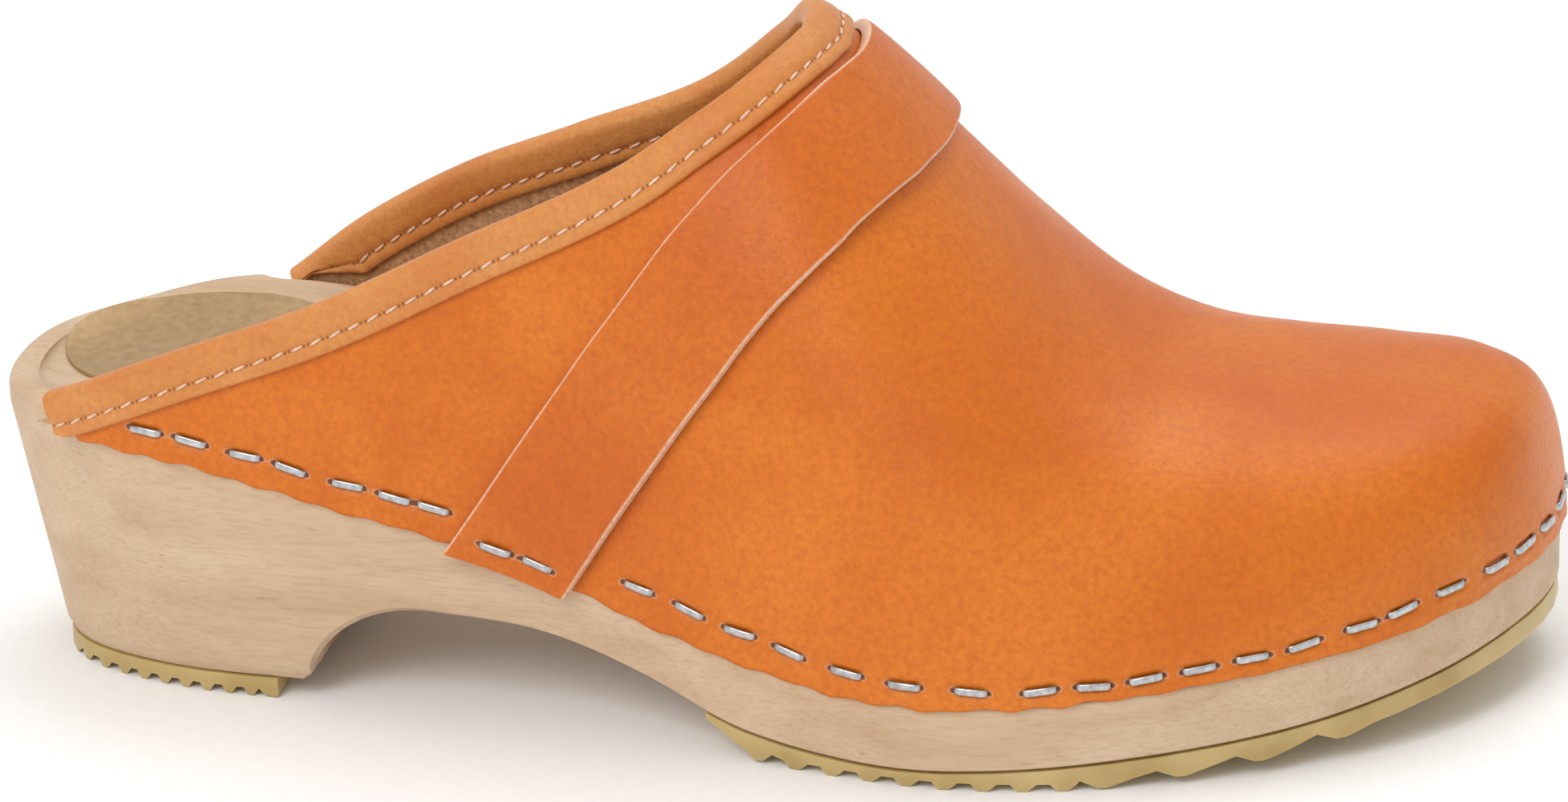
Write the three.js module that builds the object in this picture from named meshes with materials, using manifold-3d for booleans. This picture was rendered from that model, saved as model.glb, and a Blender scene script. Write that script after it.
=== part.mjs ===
// A wooden-soled clog for the right foot, built piece by piece as a clog maker builds it.
// Millimetres. +X points to the toe, +Y to the inner (medial) side, +Z up; the ribs rest on z = 0.
import * as THREE from 'three';
import { mergeVertices } from 'three/addons/utils/BufferGeometryUtils.js';
import Module from 'manifold-3d';

const wasm = await Module();
wasm.setup();

// ---------------------------------------------------------------- driving dimensions
const soleLength = 255;          // back of the heel to the tip of the toe
const heelWidth = 69;            // widest place of the heel
const waistWidth = 67.3;         // under the arch
const ballWidth = 98.6;          // across the ball of the foot

const heelHeight = 48.8;         // ground to the rim of the heel seat
const heelRubberHeight = 3.7;    // heel lift, ribs included
const archHeight = 18.4;         // ground to the top of the arch
const archRun = 21;              // length of the curved heel breast
const heelBlockLength = 55;      // back of the heel to the breast
const ballRubberHeight = 2.9;    // forefoot rubber under the ball, ribs included
const toeSpring = 11.4;          // rise of the wood's underside at the toe tip
const heelBackTaper = 7;         // the heel block leans in by this much at its back
const heelSideTaper = 4;         // and by this much at its sides

const rimWidth = 5;              // crowned rim round the footbed
const rimCrown = 0.7;            // how far the rim stands up in its middle
const rimRound = 1.3;            // rounding of the rim's outer corner
const seatDepth = 3.2;           // dish of the footbed
const archSupport = 1.6;         // the inner rim stands up by this much at the arch

const leather = 2.2;             // thickness of the upper
const leatherProud = 0.8;        // the upper stands this far outside the wood below it
const leatherCover = 9;          // height of wood that the upper covers at the forefoot
const upperRise = 94;            // lower edge of the upper to its highest point, at the throat

const bindingWidth = 7.2;        // one flap of the folded binding
const bindingLeather = 1.0;      // thickness of the binding
const strapWidth = 20.5;
const strapLeather = 2.0;
const strapOverhang = 1.5;       // the strap ends this far below the edge of the upper
const stiffener = 1.2;           // thickness of the toe stiffener

const stapleCrown = 5.8;         // outside width of a staple
const stapleWire = 1.1;          // width of its flat wire
const stapleThick = 0.7;         // thickness of its flat wire
const stapleLeg = 9;             // depth of its legs, crown included
const medialStaples = 21;        // on the inner side, without the two on the strap

const ribPitch = 3.9;            // ribs of the heel rubber
const ribDepth = 1.3;
const forefootRibPitch = 6.4;    // ribs of the forefoot rubber
const toeWavePitch = 12;         // slower waves where the rubber turns up at the toe
const labelLength = 66;
const labelWidth = 38;
const labelTurn = -8;            // degrees, its front end swings to the outer side
const labelThickness = 0.5;

const gap = 0.3;                 // clearance between pieces that touch on the real clog
const laidGap = 0.6;             // the same where one leather lies on another in wide flat facets

// ---------------------------------------------------------------- small tools
const vec = (x, y, z = 0) => new THREE.Vector3(x, y, z);
const radians = THREE.MathUtils.degToRad;
const lerp = THREE.MathUtils.lerp;

// A smooth function through rows of [place, value, value, ...]; it is constant past both ends.
function through(rows) {
  const width = rows[0].length - 1;
  const places = rows.map((row) => row[0]);
  const values = rows.flatMap((row) => row.slice(1));
  const curve = new THREE.CubicInterpolant(places, values, width, new Float64Array(width));
  return (place) => Array.from(curve.evaluate(place));
}
const curveThrough = (rows) => {
  const evaluate = through(rows);
  return (place) => evaluate(place)[0];
};

// Triangles from a list of positions and faces; faces that have collapsed to a line are left out.
function closedGeometry(points, faces) {
  const raw = new THREE.BufferGeometry();
  const numbers = points.flatMap((p) => [p.x, p.y, p.z]);
  raw.setAttribute('position', new THREE.Float32BufferAttribute(numbers, 3));
  raw.setIndex(faces.flat());
  const merged = mergeVertices(raw, 2e-3);
  const index = Array.from(merged.index.array);
  const kept = [];
  for (let i = 0; i < index.length; i += 3) {
    const [a, b, c] = index.slice(i, i + 3);
    if (a !== b && b !== c && c !== a) kept.push(a, b, c);
  }
  merged.setIndex(kept);
  if (signedVolume(merged) < 0) merged.setIndex(kept.reverse());
  return merged;
}

function signedVolume(geometry) {
  const at = geometry.attributes.position;
  const index = geometry.index.array;
  const corner = (k) => vec(at.getX(index[k]), at.getY(index[k]), at.getZ(index[k]));
  let sum = 0;
  for (let i = 0; i < index.length; i += 3) {
    sum += corner(i).dot(corner(i + 1).cross(corner(i + 2))) / 6;
  }
  return sum;
}

// A closed skin over a row of closed sections; the first and last section have collapsed to a line.
function loft(sections) {
  const around = sections[0].length;
  const faces = [];
  for (let i = 0; i + 1 < sections.length; i += 1) {
    for (let j = 0; j < around; j += 1) {
      const a = i * around + j;
      const b = i * around + ((j + 1) % around);
      faces.push([a, b, b + around], [a, b + around, a + around]);
    }
  }
  return closedGeometry(sections.flat(), faces);
}

// A sheet with thickness: two grids of points, one for each face, closed along all four borders.
function sheet(face, back) {
  const rows = face.length;
  const columns = face[0].length;
  const offset = rows * columns;
  const at = (i, j) => i * columns + j;
  const faces = [];
  const quad = (a, b, c, d) => faces.push([a, b, c], [a, c, d]);
  for (let i = 0; i + 1 < rows; i += 1) {
    for (let j = 0; j + 1 < columns; j += 1) {
      quad(at(i, j), at(i, j + 1), at(i + 1, j + 1), at(i + 1, j));
      quad(at(i + 1, j) + offset, at(i + 1, j + 1) + offset, at(i, j + 1) + offset, at(i, j) + offset);
    }
  }
  const border = [];
  for (let j = 0; j + 1 < columns; j += 1) border.push([at(0, j), at(0, j + 1)]);
  for (let i = 0; i + 1 < rows; i += 1) border.push([at(i, columns - 1), at(i + 1, columns - 1)]);
  for (let j = columns - 1; j > 0; j -= 1) border.push([at(rows - 1, j), at(rows - 1, j - 1)]);
  for (let i = rows - 1; i > 0; i -= 1) border.push([at(i, 0), at(i - 1, 0)]);
  for (const [a, b] of border) quad(b, a, a + offset, b + offset);
  return closedGeometry([...face.flat(), ...back.flat()], faces);
}

// Solids for cutting and joining, and back again.
function toSolid(geometry) {
  const bare = new THREE.BufferGeometry();
  bare.setAttribute('position', geometry.attributes.position.clone());
  if (geometry.index) bare.setIndex(geometry.index.clone());
  const merged = mergeVertices(bare, 1e-4);
  return new wasm.Manifold(new wasm.Mesh({
    numProp: 3,
    vertProperties: new Float32Array(merged.attributes.position.array),
    triVerts: new Uint32Array(merged.index.array),
  }));
}

function toGeometry(solid) {
  const mesh = solid.getMesh();
  const geometry = new THREE.BufferGeometry();
  geometry.setAttribute('position', new THREE.BufferAttribute(new Float32Array(mesh.vertProperties), 3));
  geometry.setIndex(new THREE.BufferAttribute(new Uint32Array(mesh.triVerts), 1));
  return geometry;
}

function cut(geometry, tools) {
  const solid = tools.reduce((left, tool) => left.subtract(tool), toSolid(geometry));
  return toGeometry(solid);
}

const group = new THREE.Group();
function addMesh(name, geometry, colour, roughness, metalness = 0) {
  const material = new THREE.MeshStandardMaterial({ color: colour, roughness, metalness });
  const mesh = new THREE.Mesh(geometry, material);
  mesh.name = name;
  group.add(mesh);
  return mesh;
}

// ---------------------------------------------------------------- outline of the sole
// [share of the length, width there, share of it on the outer side, share of it on the inner side]
const outlineRows = [
  [0.010, heelWidth, 0.188, 0.188],
  [0.039, heelWidth, 0.312, 0.306],
  [0.110, heelWidth, 0.425, 0.455],
  [0.239, heelWidth, 0.491, 0.509],
  [0.380, waistWidth, 0.544, 0.456],
  [0.518, ballWidth, 0.469, 0.376],
  [0.655, ballWidth, 0.544, 0.456],
  [0.780, ballWidth, 0.497, 0.467],
  [0.878, ballWidth, 0.391, 0.436],
  [0.953, ballWidth, 0.229, 0.331],
  [0.990, ballWidth, 0.062, 0.214],
];
const toeRow = outlineRows.at(-1);
const toeTip = vec(soleLength, (0.5 * (toeRow[3] - toeRow[2])) * ballWidth);
const outline = new THREE.CatmullRomCurve3([
  vec(0, 0),
  ...outlineRows.map(([share, width, outer]) => vec(share * soleLength, -outer * width)),
  toeTip,
  ...outlineRows.map(([share, width, , inner]) => vec(share * soleLength, inner * width)).reverse(),
], true, 'centripetal');

// The point of the outline at a distance x from the heel, on the outer (-1) or the inner (+1) side,
// with the direction that leads away from the sole.
function edgeAt(x, side) {
  let near = 0;
  let far = 0.5;
  for (let step = 0; step < 40; step += 1) {
    const middle = (near + far) / 2;
    if (outline.getPoint(side < 0 ? middle : 1 - middle).x < x) near = middle;
    else far = middle;
  }
  const turn = side < 0 ? near : (1 - near) % 1;
  const along = outline.getTangent(turn);
  return { point: outline.getPoint(turn), outward: vec(along.y, -along.x) };
}
const insetFrom = (edge, inset, z) => vec(
  edge.point.x - edge.outward.x * inset,
  edge.point.y - edge.outward.y * inset,
  z,
);

// ---------------------------------------------------------------- heights along the sole
const soleTop = curveThrough([
  [0, 0.972], [0.118, 1], [0.235, 0.92], [0.353, 0.8], [0.47, 0.62],
  [0.588, 0.5], [0.706, 0.5], [0.824, 0.555], [0.94, 0.62], [1, 0.68],
].map(([share, height]) => [share * soleLength, height * heelHeight]));

const archEnd = heelBlockLength + archRun;
const undersideFromArch = curveThrough([
  [archEnd, archHeight],
  [lerp(archEnd, soleLength, 0.11), 0.91 * archHeight],
  [lerp(archEnd, soleLength, 0.22), 0.62 * archHeight],
  [lerp(archEnd, soleLength, 0.305), 0.30 * archHeight],
  [lerp(archEnd, soleLength, 0.42), ballRubberHeight],
  [lerp(archEnd, soleLength, 0.555), ballRubberHeight + 0.05 * toeSpring],
  [lerp(archEnd, soleLength, 0.695), ballRubberHeight + 0.22 * toeSpring],
  [lerp(archEnd, soleLength, 0.833), ballRubberHeight + 0.46 * toeSpring],
  [lerp(archEnd, soleLength, 0.917), ballRubberHeight + 0.70 * toeSpring],
  [soleLength, ballRubberHeight + toeSpring],
]);
function soleBottom(x) {
  if (x <= heelBlockLength) return heelRubberHeight;
  if (x >= archEnd) return undersideFromArch(x);
  const t = (x - heelBlockLength) / archRun;
  return lerp(heelRubberHeight, archHeight, (1 - (1 - t) ** 2) ** 0.62);
}

// How far the underside lies inside the outline: the heel block tapers, the forefoot hardly.
const undersideInset = curveThrough([
  [0, heelBackTaper],
  [0.2 * heelBlockLength, lerp(heelBackTaper, heelSideTaper, 0.5)],
  [0.6 * heelBlockLength, heelSideTaper],
  [heelBlockLength, 0.9 * heelSideTaper],
  [archEnd, 0.4 * heelSideTaper],
  [0.45 * soleLength, 1.0],
  [0.55 * soleLength, 0.5],
  [soleLength, 0.5],
]);

// ---------------------------------------------------------------- shape of the upper
// Where the leather ends on the wood: the cover is shallow at the tails and full at the forefoot.
const cover = curveThrough([
  [0.05 * soleLength, 0.39 * leatherCover],
  [0.157 * soleLength, 0.67 * leatherCover],
  [0.275 * soleLength, 0.89 * leatherCover],
  [0.43 * soleLength, leatherCover],
  [soleLength, leatherCover],
]);
const leatherEdge = (x) => soleTop(x) - cover(x);

// Stations of the last, heel to toe:
// [share of the length at the sole, share of the length at the ridge, share of the rise, fullness].
// The fullness is the exponent of the arch: 2 is an ellipse, more is squarer.
const lastStation = through([
  [0.03, 0.03, 0.62, 2.2],
  [0.235, 0.235, 0.86, 2.2],
  [0.39, 0.39, 1.0, 2.2],
  [0.49, 0.49, 1.035, 2.2],
  [0.553, 0.553, 0.998, 2.2],
  [0.59, 0.59, 0.918, 2.2],
  [0.628, 0.628, 0.803, 2.2],
  [0.67, 0.668, 0.672, 2.25],
  [0.72, 0.717, 0.53, 2.3],
  [0.77, 0.768, 0.437, 2.4],
  [0.825, 0.825, 0.387, 2.5],
  [0.88, 0.888, 0.355, 2.6],
  [0.93, 0.947, 0.32, 2.7],
  [0.965, 0.984, 0.245, 2.6],
  [0.987, 0.997, 0.13, 2.3],
  [0.998, 1.0, 0, 2.1],
]);
const lastEnd = 0.998;

// The tails stand off the wood by the folded binding that lies behind them.
const tailShare = { outer: 0.055, inner: 0.150 };
const tailStation = (side) => (side < 0 ? tailShare.outer : tailShare.inner) * soleLength;
function proud(x, side) {
  const tail = tailStation(side);
  const free = 1 - THREE.MathUtils.smoothstep(x, tail + 4, tail + 34);
  return leatherProud + free * (bindingLeather + gap);
}

// A place on the upper is [u, phi]: u runs along the sole, phi goes over the foot from the outer
// edge (0) across the ridge (90 degrees) to the inner edge (180 degrees).
function surfacePoint(u, phi) {
  const [ridgeShare, riseShare, fullness] = lastStation(u);
  const base = [-1, 1].map((side) => {
    const edge = edgeAt(u * soleLength, side);
    return insetFrom(edge, -proud(u * soleLength, side), leatherEdge(u * soleLength));
  });
  const middle = base[0].clone().lerp(base[1], 0.5);
  const ridge = vec(
    ridgeShare * soleLength + leatherProud * THREE.MathUtils.smoothstep(ridgeShare, 0.9, 1),
    middle.y,
    leatherEdge(ridgeShare * soleLength) + riseShare * upperRise,
  );
  const up = ridge.sub(middle);
  if (phi < 0) return base[0].clone().addScaledVector(up, phi);
  if (phi > Math.PI) return base[1].clone().addScaledVector(up, Math.PI - phi);
  const across = (phi < Math.PI / 2 ? base[0] : base[1]).clone().sub(middle);
  const c = Math.abs(Math.cos(phi));
  const s = Math.sin(phi);
  const reach = (c ** fullness + s ** fullness) ** (-1 / fullness);
  return middle.clone().addScaledVector(across, reach * c).addScaledVector(up, reach * s);
}

function surfaceTangents(u, phi) {
  const h = 1e-3;
  const u1 = Math.min(u + h, lastEnd);
  const alongSole = surfacePoint(u1, phi).sub(surfacePoint(u1 - 2 * h, phi)).divideScalar(2 * h);
  const overFoot = surfacePoint(u, phi + h).sub(surfacePoint(u, phi - h)).divideScalar(2 * h);
  return { alongSole, overFoot };
}

function surfaceNormal(u, phi) {
  const { alongSole, overFoot } = surfaceTangents(u, phi);
  return overFoot.cross(alongSole).normalize().negate();
}

// A point off the surface: positive offsets lie outside the foot.
const skin = (u, phi, offset) => surfacePoint(u, phi).addScaledVector(surfaceNormal(u, phi), offset);

// The place reached by walking a distance over the surface, as near to a direction as it allows.
function walk(place, direction, distance) {
  const steps = Math.max(1, Math.ceil(Math.abs(distance) / 1.5));
  const stride = distance / steps;
  let [u, phi] = place;
  for (let k = 0; k < steps; k += 1) {
    const { alongSole, overFoot } = surfaceTangents(u, phi);
    const aa = alongSole.dot(alongSole);
    const ab = alongSole.dot(overFoot);
    const bb = overFoot.dot(overFoot);
    const a = direction.dot(alongSole) * stride;
    const b = direction.dot(overFoot) * stride;
    const area = aa * bb - ab * ab;
    u += (bb * a - ab * b) / area;
    phi += (aa * b - ab * a) / area;
  }
  return [u, phi];
}

// ---------------------------------------------------------------- topline of the upper
// [angle over the foot in degrees, share of the length]; the first row of each is its tail corner.
const outerTail = 5;
const innerTail = 5;
const outerTopline = curveThrough([
  [outerTail, tailShare.outer], [13.2, 0.134], [23.3, 0.242], [30.8, 0.318], [38, 0.386],
  [46, 0.443], [54, 0.482], [62, 0.511], [70, 0.5295], [80, 0.5425], [90, 0.548],
]);
const innerTopline = curveThrough([
  [innerTail, tailShare.inner], [14.9, 0.206], [23.8, 0.276], [31.4, 0.355],
  [40.8, 0.441], [54.4, 0.501], [70, 0.531], [80, 0.5425], [90, 0.548],
]);
const outerTailFoot = tailShare.outer + 0.021;
const innerTailFoot = tailShare.inner + 0.016;
function toplineStation(phi) {
  const degrees = THREE.MathUtils.radToDeg(phi);
  if (degrees < outerTail) return lerp(outerTailFoot, outerTopline(outerTail), degrees / outerTail);
  if (degrees <= 90) return outerTopline(degrees);
  const back = 180 - degrees;
  if (back < innerTail) return lerp(innerTailFoot, innerTopline(innerTail), back / innerTail);
  return innerTopline(back);
}

// ---------------------------------------------------------------- wooden sole
// Depth of the rebate that takes the leather; it runs out behind the tails.
const rebate = leather - leatherProud + gap + 0.2;
function rebateAt(x, side) {
  const tail = tailStation(side);
  return rebate * THREE.MathUtils.smoothstep(x, tail - 5, tail - 2);
}
const wallDraft = curveThrough([
  [0, 0.2], [0.5 * soleLength, 0.7], [0.85 * soleLength, 1.6], [soleLength, 2.2],
]);

// The rim keeps its width inside the rebate.
const rimEdgeInset = (x, side) => rimWidth + 0.8 * rebateAt(x, side);

// The inner rim is a little higher along the arch.
const rimLift = curveThrough([
  [0.06, 0], [0.16, 1], [0.28, 1], [0.5, 0],
].map(([share, lift]) => [share * soleLength, lift * archSupport]));
const rimHeight = (x, side) => soleTop(x) + (side > 0 ? rimLift(x) : 0);

// Footbed between the two inner edges of the rim; share runs from the outer to the inner side.
const rimEdge = (x, side) => insetFrom(edgeAt(x, side), rimEdgeInset(x, side), rimHeight(x, side));
const widestRim = rimEdge(0.65 * soleLength, -1).distanceTo(rimEdge(0.65 * soleLength, 1));
function footbed(x, share) {
  const outer = rimEdge(x, -1);
  const inner = rimEdge(x, 1);
  const narrow = Math.min(1, outer.distanceTo(inner) / (0.45 * widestRim));
  const point = outer.lerp(inner, share);
  point.z -= seatDepth * narrow * 4 * share * (1 - share);
  return point;
}

function soleSide(x, side) {
  const edge = edgeAt(x, side);
  const depth = rebateAt(x, side);
  const ledge = leatherEdge(x) - gap;
  const top = rimHeight(x, side);
  const wallTop = depth + (depth > 0.1 ? wallDraft(x) : 0);
  const foot = insetFrom(edge, undersideInset(x), 0);
  foot.z = soleBottom(foot.x);
  return [
    foot,
    insetFrom(edge, 0, ledge),
    insetFrom(edge, depth, ledge),
    insetFrom(edge, wallTop, top - rimRound),
    insetFrom(edge, wallTop + rimRound, top),
    insetFrom(edge, 0.5 * (wallTop + rimRound + rimEdgeInset(x, side)), top + rimCrown),
  ];
}

function soleSection(x) {
  const outer = soleSide(x, -1);
  const inner = soleSide(x, 1);
  const bed = [0, 0.18, 0.36, 0.5, 0.64, 0.82, 1].map((share) => footbed(x, share));
  const underside = [0.7, 0.3].map((share) => outer[0].clone().lerp(inner[0], share));
  for (const point of underside) point.z = soleBottom(point.x);
  return [...outer, ...bed, ...inner.reverse(), ...underside];
}

function soleStations() {
  const breast = [-0.3, 0.02, 0.08, 0.18, 0.32, 0.5, 0.72, 1].map((t) => heelBlockLength + t * archRun);
  const heel = [0, 0.6, 2.4, 5.2, 9, 13, 17, 22, 28, 34, 40].map((x) => (x * heelBlockLength) / 54);
  const toe = [0, 0.5, 2, 4.6, 8.2, 13, 19].map((x) => soleLength - x).reverse();
  const middle = [];
  const count = 18;
  for (let k = 1; k < count; k += 1) middle.push(lerp(archEnd, toe[0], k / count));
  return [...heel, ...breast, ...middle, ...toe];
}
const soleGeometry = loft(soleStations().map(soleSection));

// ---------------------------------------------------------------- leather upper
// Columns cross the topline at these angles; the first and the last run down the cut tails.
const upperColumns = 26;
function columnTurn(column) {
  const half = upperColumns / 2;
  const back = Math.min(column, upperColumns - column);
  const tailTurn = radians(column <= half ? outerTail : innerTail);
  const share = Math.max(0, (back - 1) / (half - 1)) ** 1.25;
  const turn = back < 1 ? tailTurn * back : lerp(tailTurn, Math.PI / 2, share);
  return column <= half ? turn : Math.PI - turn;
}

// Hoops from the topline to the toe; each runs from the outer edge over the foot to the inner edge.
const upperHoops = 28;
function upperGrid(offset) {
  const grid = [];
  for (let i = 0; i <= upperHoops; i += 1) {
    const along = 1 - (1 - i / upperHoops) ** 1.3;
    const hoop = [];
    for (let j = 0; j <= upperColumns; j += 1) {
      const phi = lerp(columnTurn(j), (Math.PI * j) / upperColumns, along);
      const u = lerp(toplineStation(columnTurn(j)), lastEnd, along);
      hoop.push(skin(u, phi, offset));
    }
    grid.push(hoop);
  }
  return grid;
}
const upperGeometry = sheet(upperGrid(0), upperGrid(-leather));

// ---------------------------------------------------------------- topline binding
// The strip is folded over the edge of the upper: [distance below the topline, offset from the skin].
const under = -(leather + laidGap);
const foldMiddle = -leather / 2;
const bindingInside = [
  [bindingWidth, laidGap], [0.5 * bindingWidth, laidGap], [0, laidGap], [-gap, 0], [-gap, foldMiddle],
  [-gap, -leather], [0, under], [0.5 * bindingWidth, under], [bindingWidth, under],
];
const bindingOutside = [
  [bindingWidth, laidGap + bindingLeather],
  [0.5 * bindingWidth, laidGap + bindingLeather],
  [0, laidGap + bindingLeather],
  [-gap - 0.8 * bindingLeather, 0.5 * bindingLeather],
  [-gap - 1.2 * bindingLeather, foldMiddle],
  [-gap - 0.8 * bindingLeather, -leather - 0.5 * bindingLeather],
  [0, under - bindingLeather],
  [0.5 * bindingWidth, under - bindingLeather],
  [bindingWidth, under - bindingLeather],
];
function bindingGrid(profile) {
  const start = columnTurn(1);
  const end = columnTurn(upperColumns - 1);
  const grid = [];
  for (let column = 1; column < upperColumns; column += 1) {
    const phi = columnTurn(column);
    const place = [toplineStation(phi), phi];
    const before = Math.max(phi - 0.01, start);
    const after = Math.min(phi + 0.01, end);
    const along = surfacePoint(toplineStation(after), after)
      .sub(surfacePoint(toplineStation(before), before)).normalize();
    const down = along.cross(surfaceNormal(...place)).normalize();
    // Near the tails the inner flap is trimmed where it would run down behind the rim of the wood.
    const side = column < upperColumns / 2 ? -1 : 1;
    const corner = skin(...place, under - bindingLeather);
    const free = Math.max(corner.z - rimHeight(corner.x, side) - gap, 0.8) * 1.1;
    const trim = Math.min(1, free / bindingWidth);
    grid.push(profile.map(([fullDistance, offset]) => {
      const inside = offset < 0 && fullDistance > 0;
      const distance = inside ? fullDistance * trim : fullDistance;
      if (distance <= 0) return skin(...place, offset).addScaledVector(down, distance);
      const [u, turn] = walk(place, down, distance);
      return skin(u, THREE.MathUtils.clamp(turn, 0.002, Math.PI - 0.002), offset);
    }));
  }
  return grid;
}
const bindingGeometry = sheet(bindingGrid(bindingOutside), bindingGrid(bindingInside));

// ---------------------------------------------------------------- instep strap
// Centre line of the strap: [angle over the foot in degrees, share of the length].
const strapLine = curveThrough([
  [-2, 0.357], [10, 0.402], [22, 0.449], [30, 0.480], [38, 0.509], [46, 0.5355], [54, 0.5575],
  [62, 0.5745], [70, 0.586], [78, 0.5935], [90, 0.5985], [102, 0.595], [112, 0.586], [122, 0.571],
  [132, 0.548], [144, 0.512], [161, 0.450], [182, 0.372],
]);
function strapGrid(offset, stations, across) {
  const end = strapOverhang / upperRise;
  const grid = [];
  for (let i = 0; i <= stations; i += 1) {
    const phi = lerp(-end, Math.PI + end, i / stations);
    const line = (angle) => strapLine(THREE.MathUtils.radToDeg(angle));
    const h = 0.01;
    const along = surfacePoint(line(phi + h), phi + h)
      .sub(surfacePoint(line(phi - h), phi - h)).normalize();
    const { alongSole } = surfaceTangents(line(phi), phi);
    const slant = alongSole.clone().cross(along).length();
    const row = [];
    for (let j = 0; j <= across; j += 1) {
      const shift = (strapWidth * (j / across - 0.5)) / slant;
      row.push(skin(line(phi) + shift, phi, offset));
    }
    grid.push(row);
  }
  return grid;
}
const strapGeometry = sheet(strapGrid(laidGap + strapLeather, 30, 4), strapGrid(laidGap, 30, 4));

// ---------------------------------------------------------------- rubber under the sole
// A flat outline pushed up (a plan) or across (a side view), for cutting one by the other.
function planPrism(points, bottom, top) {
  const shape = new THREE.Shape(points.map((p) => new THREE.Vector2(p.x, p.y)));
  const geometry = new THREE.ExtrudeGeometry(shape, { depth: top - bottom, bevelEnabled: false });
  return toSolid(geometry.translate(0, 0, bottom));
}
function sidePrism(points) {
  const shape = new THREE.Shape(points.map(([x, z]) => new THREE.Vector2(x, z)));
  const geometry = new THREE.ExtrudeGeometry(shape, { depth: 2 * ballWidth, bevelEnabled: false });
  return toSolid(geometry.rotateX(Math.PI / 2).translate(0, ballWidth, 0));
}
function rubberPlan(from, to) {
  const stations = soleStations().filter((x) => x >= from && x <= to);
  const side = (x, hand) => insetFrom(edgeAt(x, hand), undersideInset(x) + gap, 0);
  const back = from > 0 ? [] : [side(0, -1)];
  const front = to < soleLength ? [] : [side(soleLength, -1)];
  const between = stations.filter((x) => x > 0 && x < soleLength);
  return [
    ...back,
    ...between.map((x) => side(x, -1)),
    ...front,
    ...between.map((x) => side(x, 1)).reverse(),
  ];
}
// One rib in side view: up its back, along its flat foot, and down its front to the next valley.
function rib(x, pitch, foot, valley, flat) {
  return [
    [x - 0.30 * pitch, valley],
    [x - 0.5 * flat, foot],
    [x + 0.5 * flat, foot],
    [x + 0.38 * pitch, valley],
  ];
}

const rubberEdge = 0.9;          // thickness of the rubbers at their thin edges
const heelRibFlat = 1.0;
const heelRibStart = 13;
const heelRibCount = Math.round((heelBlockLength - 9 - heelRibStart) / ribPitch);
function heelRubberSide() {
  const top = heelRubberHeight - gap;
  const side = [[-1, top], [-1, 0], [heelRibStart - 0.6 * ribPitch, 0]];
  for (let k = 0; k <= heelRibCount; k += 1) {
    side.push(...rib(heelRibStart + k * ribPitch, ribPitch, 0, ribDepth, heelRibFlat));
  }
  const last = heelRibStart + (heelRibCount + 1) * ribPitch;
  const front = heelBlockLength - 0.5;
  side.push([last - 0.3 * ribPitch, 0.2], [last + 0.3, 0], [front, top - rubberEdge], [front, top]);
  return side;
}
const heelRubber = planPrism(rubberPlan(0, heelBlockLength), -1, heelRubberHeight + 1)
  .intersect(sidePrism(heelRubberSide()));

// The forefoot rubber starts as a thin edge behind the ball and follows the wood up to the toe.
const forefootRubberStart = 0.49 * soleLength;
const forefootRubberThick = 4.2;
const forefootRibFlat = 1.5;
const ribFoot = (x) => Math.max(0, soleBottom(x) - forefootRubberThick);
function forefootRubberSide() {
  const top = (x) => soleBottom(x) - gap;
  const side = [[forefootRubberStart, top(forefootRubberStart)]];
  side.push([forefootRubberStart, top(forefootRubberStart) - rubberEdge]);
  const valley = (x) => Math.min(ribFoot(x) + ribDepth, top(x) - rubberEdge);
  let x = forefootRubberStart + 9;
  let pitch = forefootRibPitch;
  while (x + 0.5 * pitch < 0.925 * soleLength) {
    pitch = x < 0.74 * soleLength ? forefootRibPitch : toeWavePitch;
    side.push(...rib(x, pitch, ribFoot(x), valley(x), forefootRibFlat));
    x += pitch;
  }
  for (const share of [0.935, 0.97, 1.01]) {
    side.push([share * soleLength, ribFoot(share * soleLength) + 0.6]);
  }
  const count = 20;
  for (let k = 0; k < count; k += 1) {
    const place = lerp(1.01 * soleLength, forefootRubberStart, k / count);
    side.push([place, top(place)]);
  }
  return side;
}
const forefootRubber = planPrism(rubberPlan(forefootRubberStart - 12, soleLength), -1, heelHeight)
  .intersect(sidePrism(forefootRubberSide()));

// ---------------------------------------------------------------- heel label
const labelCentre = vec(0.154 * soleLength, 0.049 * ballWidth);
function footbedAt(x, y) {
  let station = x;
  let point = footbed(x, 0.5);
  for (let step = 0; step < 6; step += 1) {
    const outer = rimEdge(station, -1);
    const inner = rimEdge(station, 1);
    point = footbed(station, (y - outer.y) / (inner.y - outer.y));
    station += x - point.x;
  }
  return point;
}
function labelGrid(lift) {
  const rows = 10;
  const columns = 6;
  const turn = radians(labelTurn);
  const grid = [];
  for (let i = 0; i <= rows; i += 1) {
    const along = -Math.cos((Math.PI * (i + 0.35)) / (rows + 0.7));
    const half = 0.5 * labelWidth * Math.sqrt(1 - along * along);
    const row = [];
    for (let j = 0; j <= columns; j += 1) {
      const local = vec(along * 0.5 * labelLength, half * ((2 * j) / columns - 1));
      const place = local.applyAxisAngle(vec(0, 0, 1), turn).add(labelCentre);
      row.push(footbedAt(place.x, place.y).add(vec(0, 0, lift)));
    }
    grid.push(row);
  }
  return grid;
}
const labelGeometry = sheet(labelGrid(gap + labelThickness), labelGrid(gap));

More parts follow.
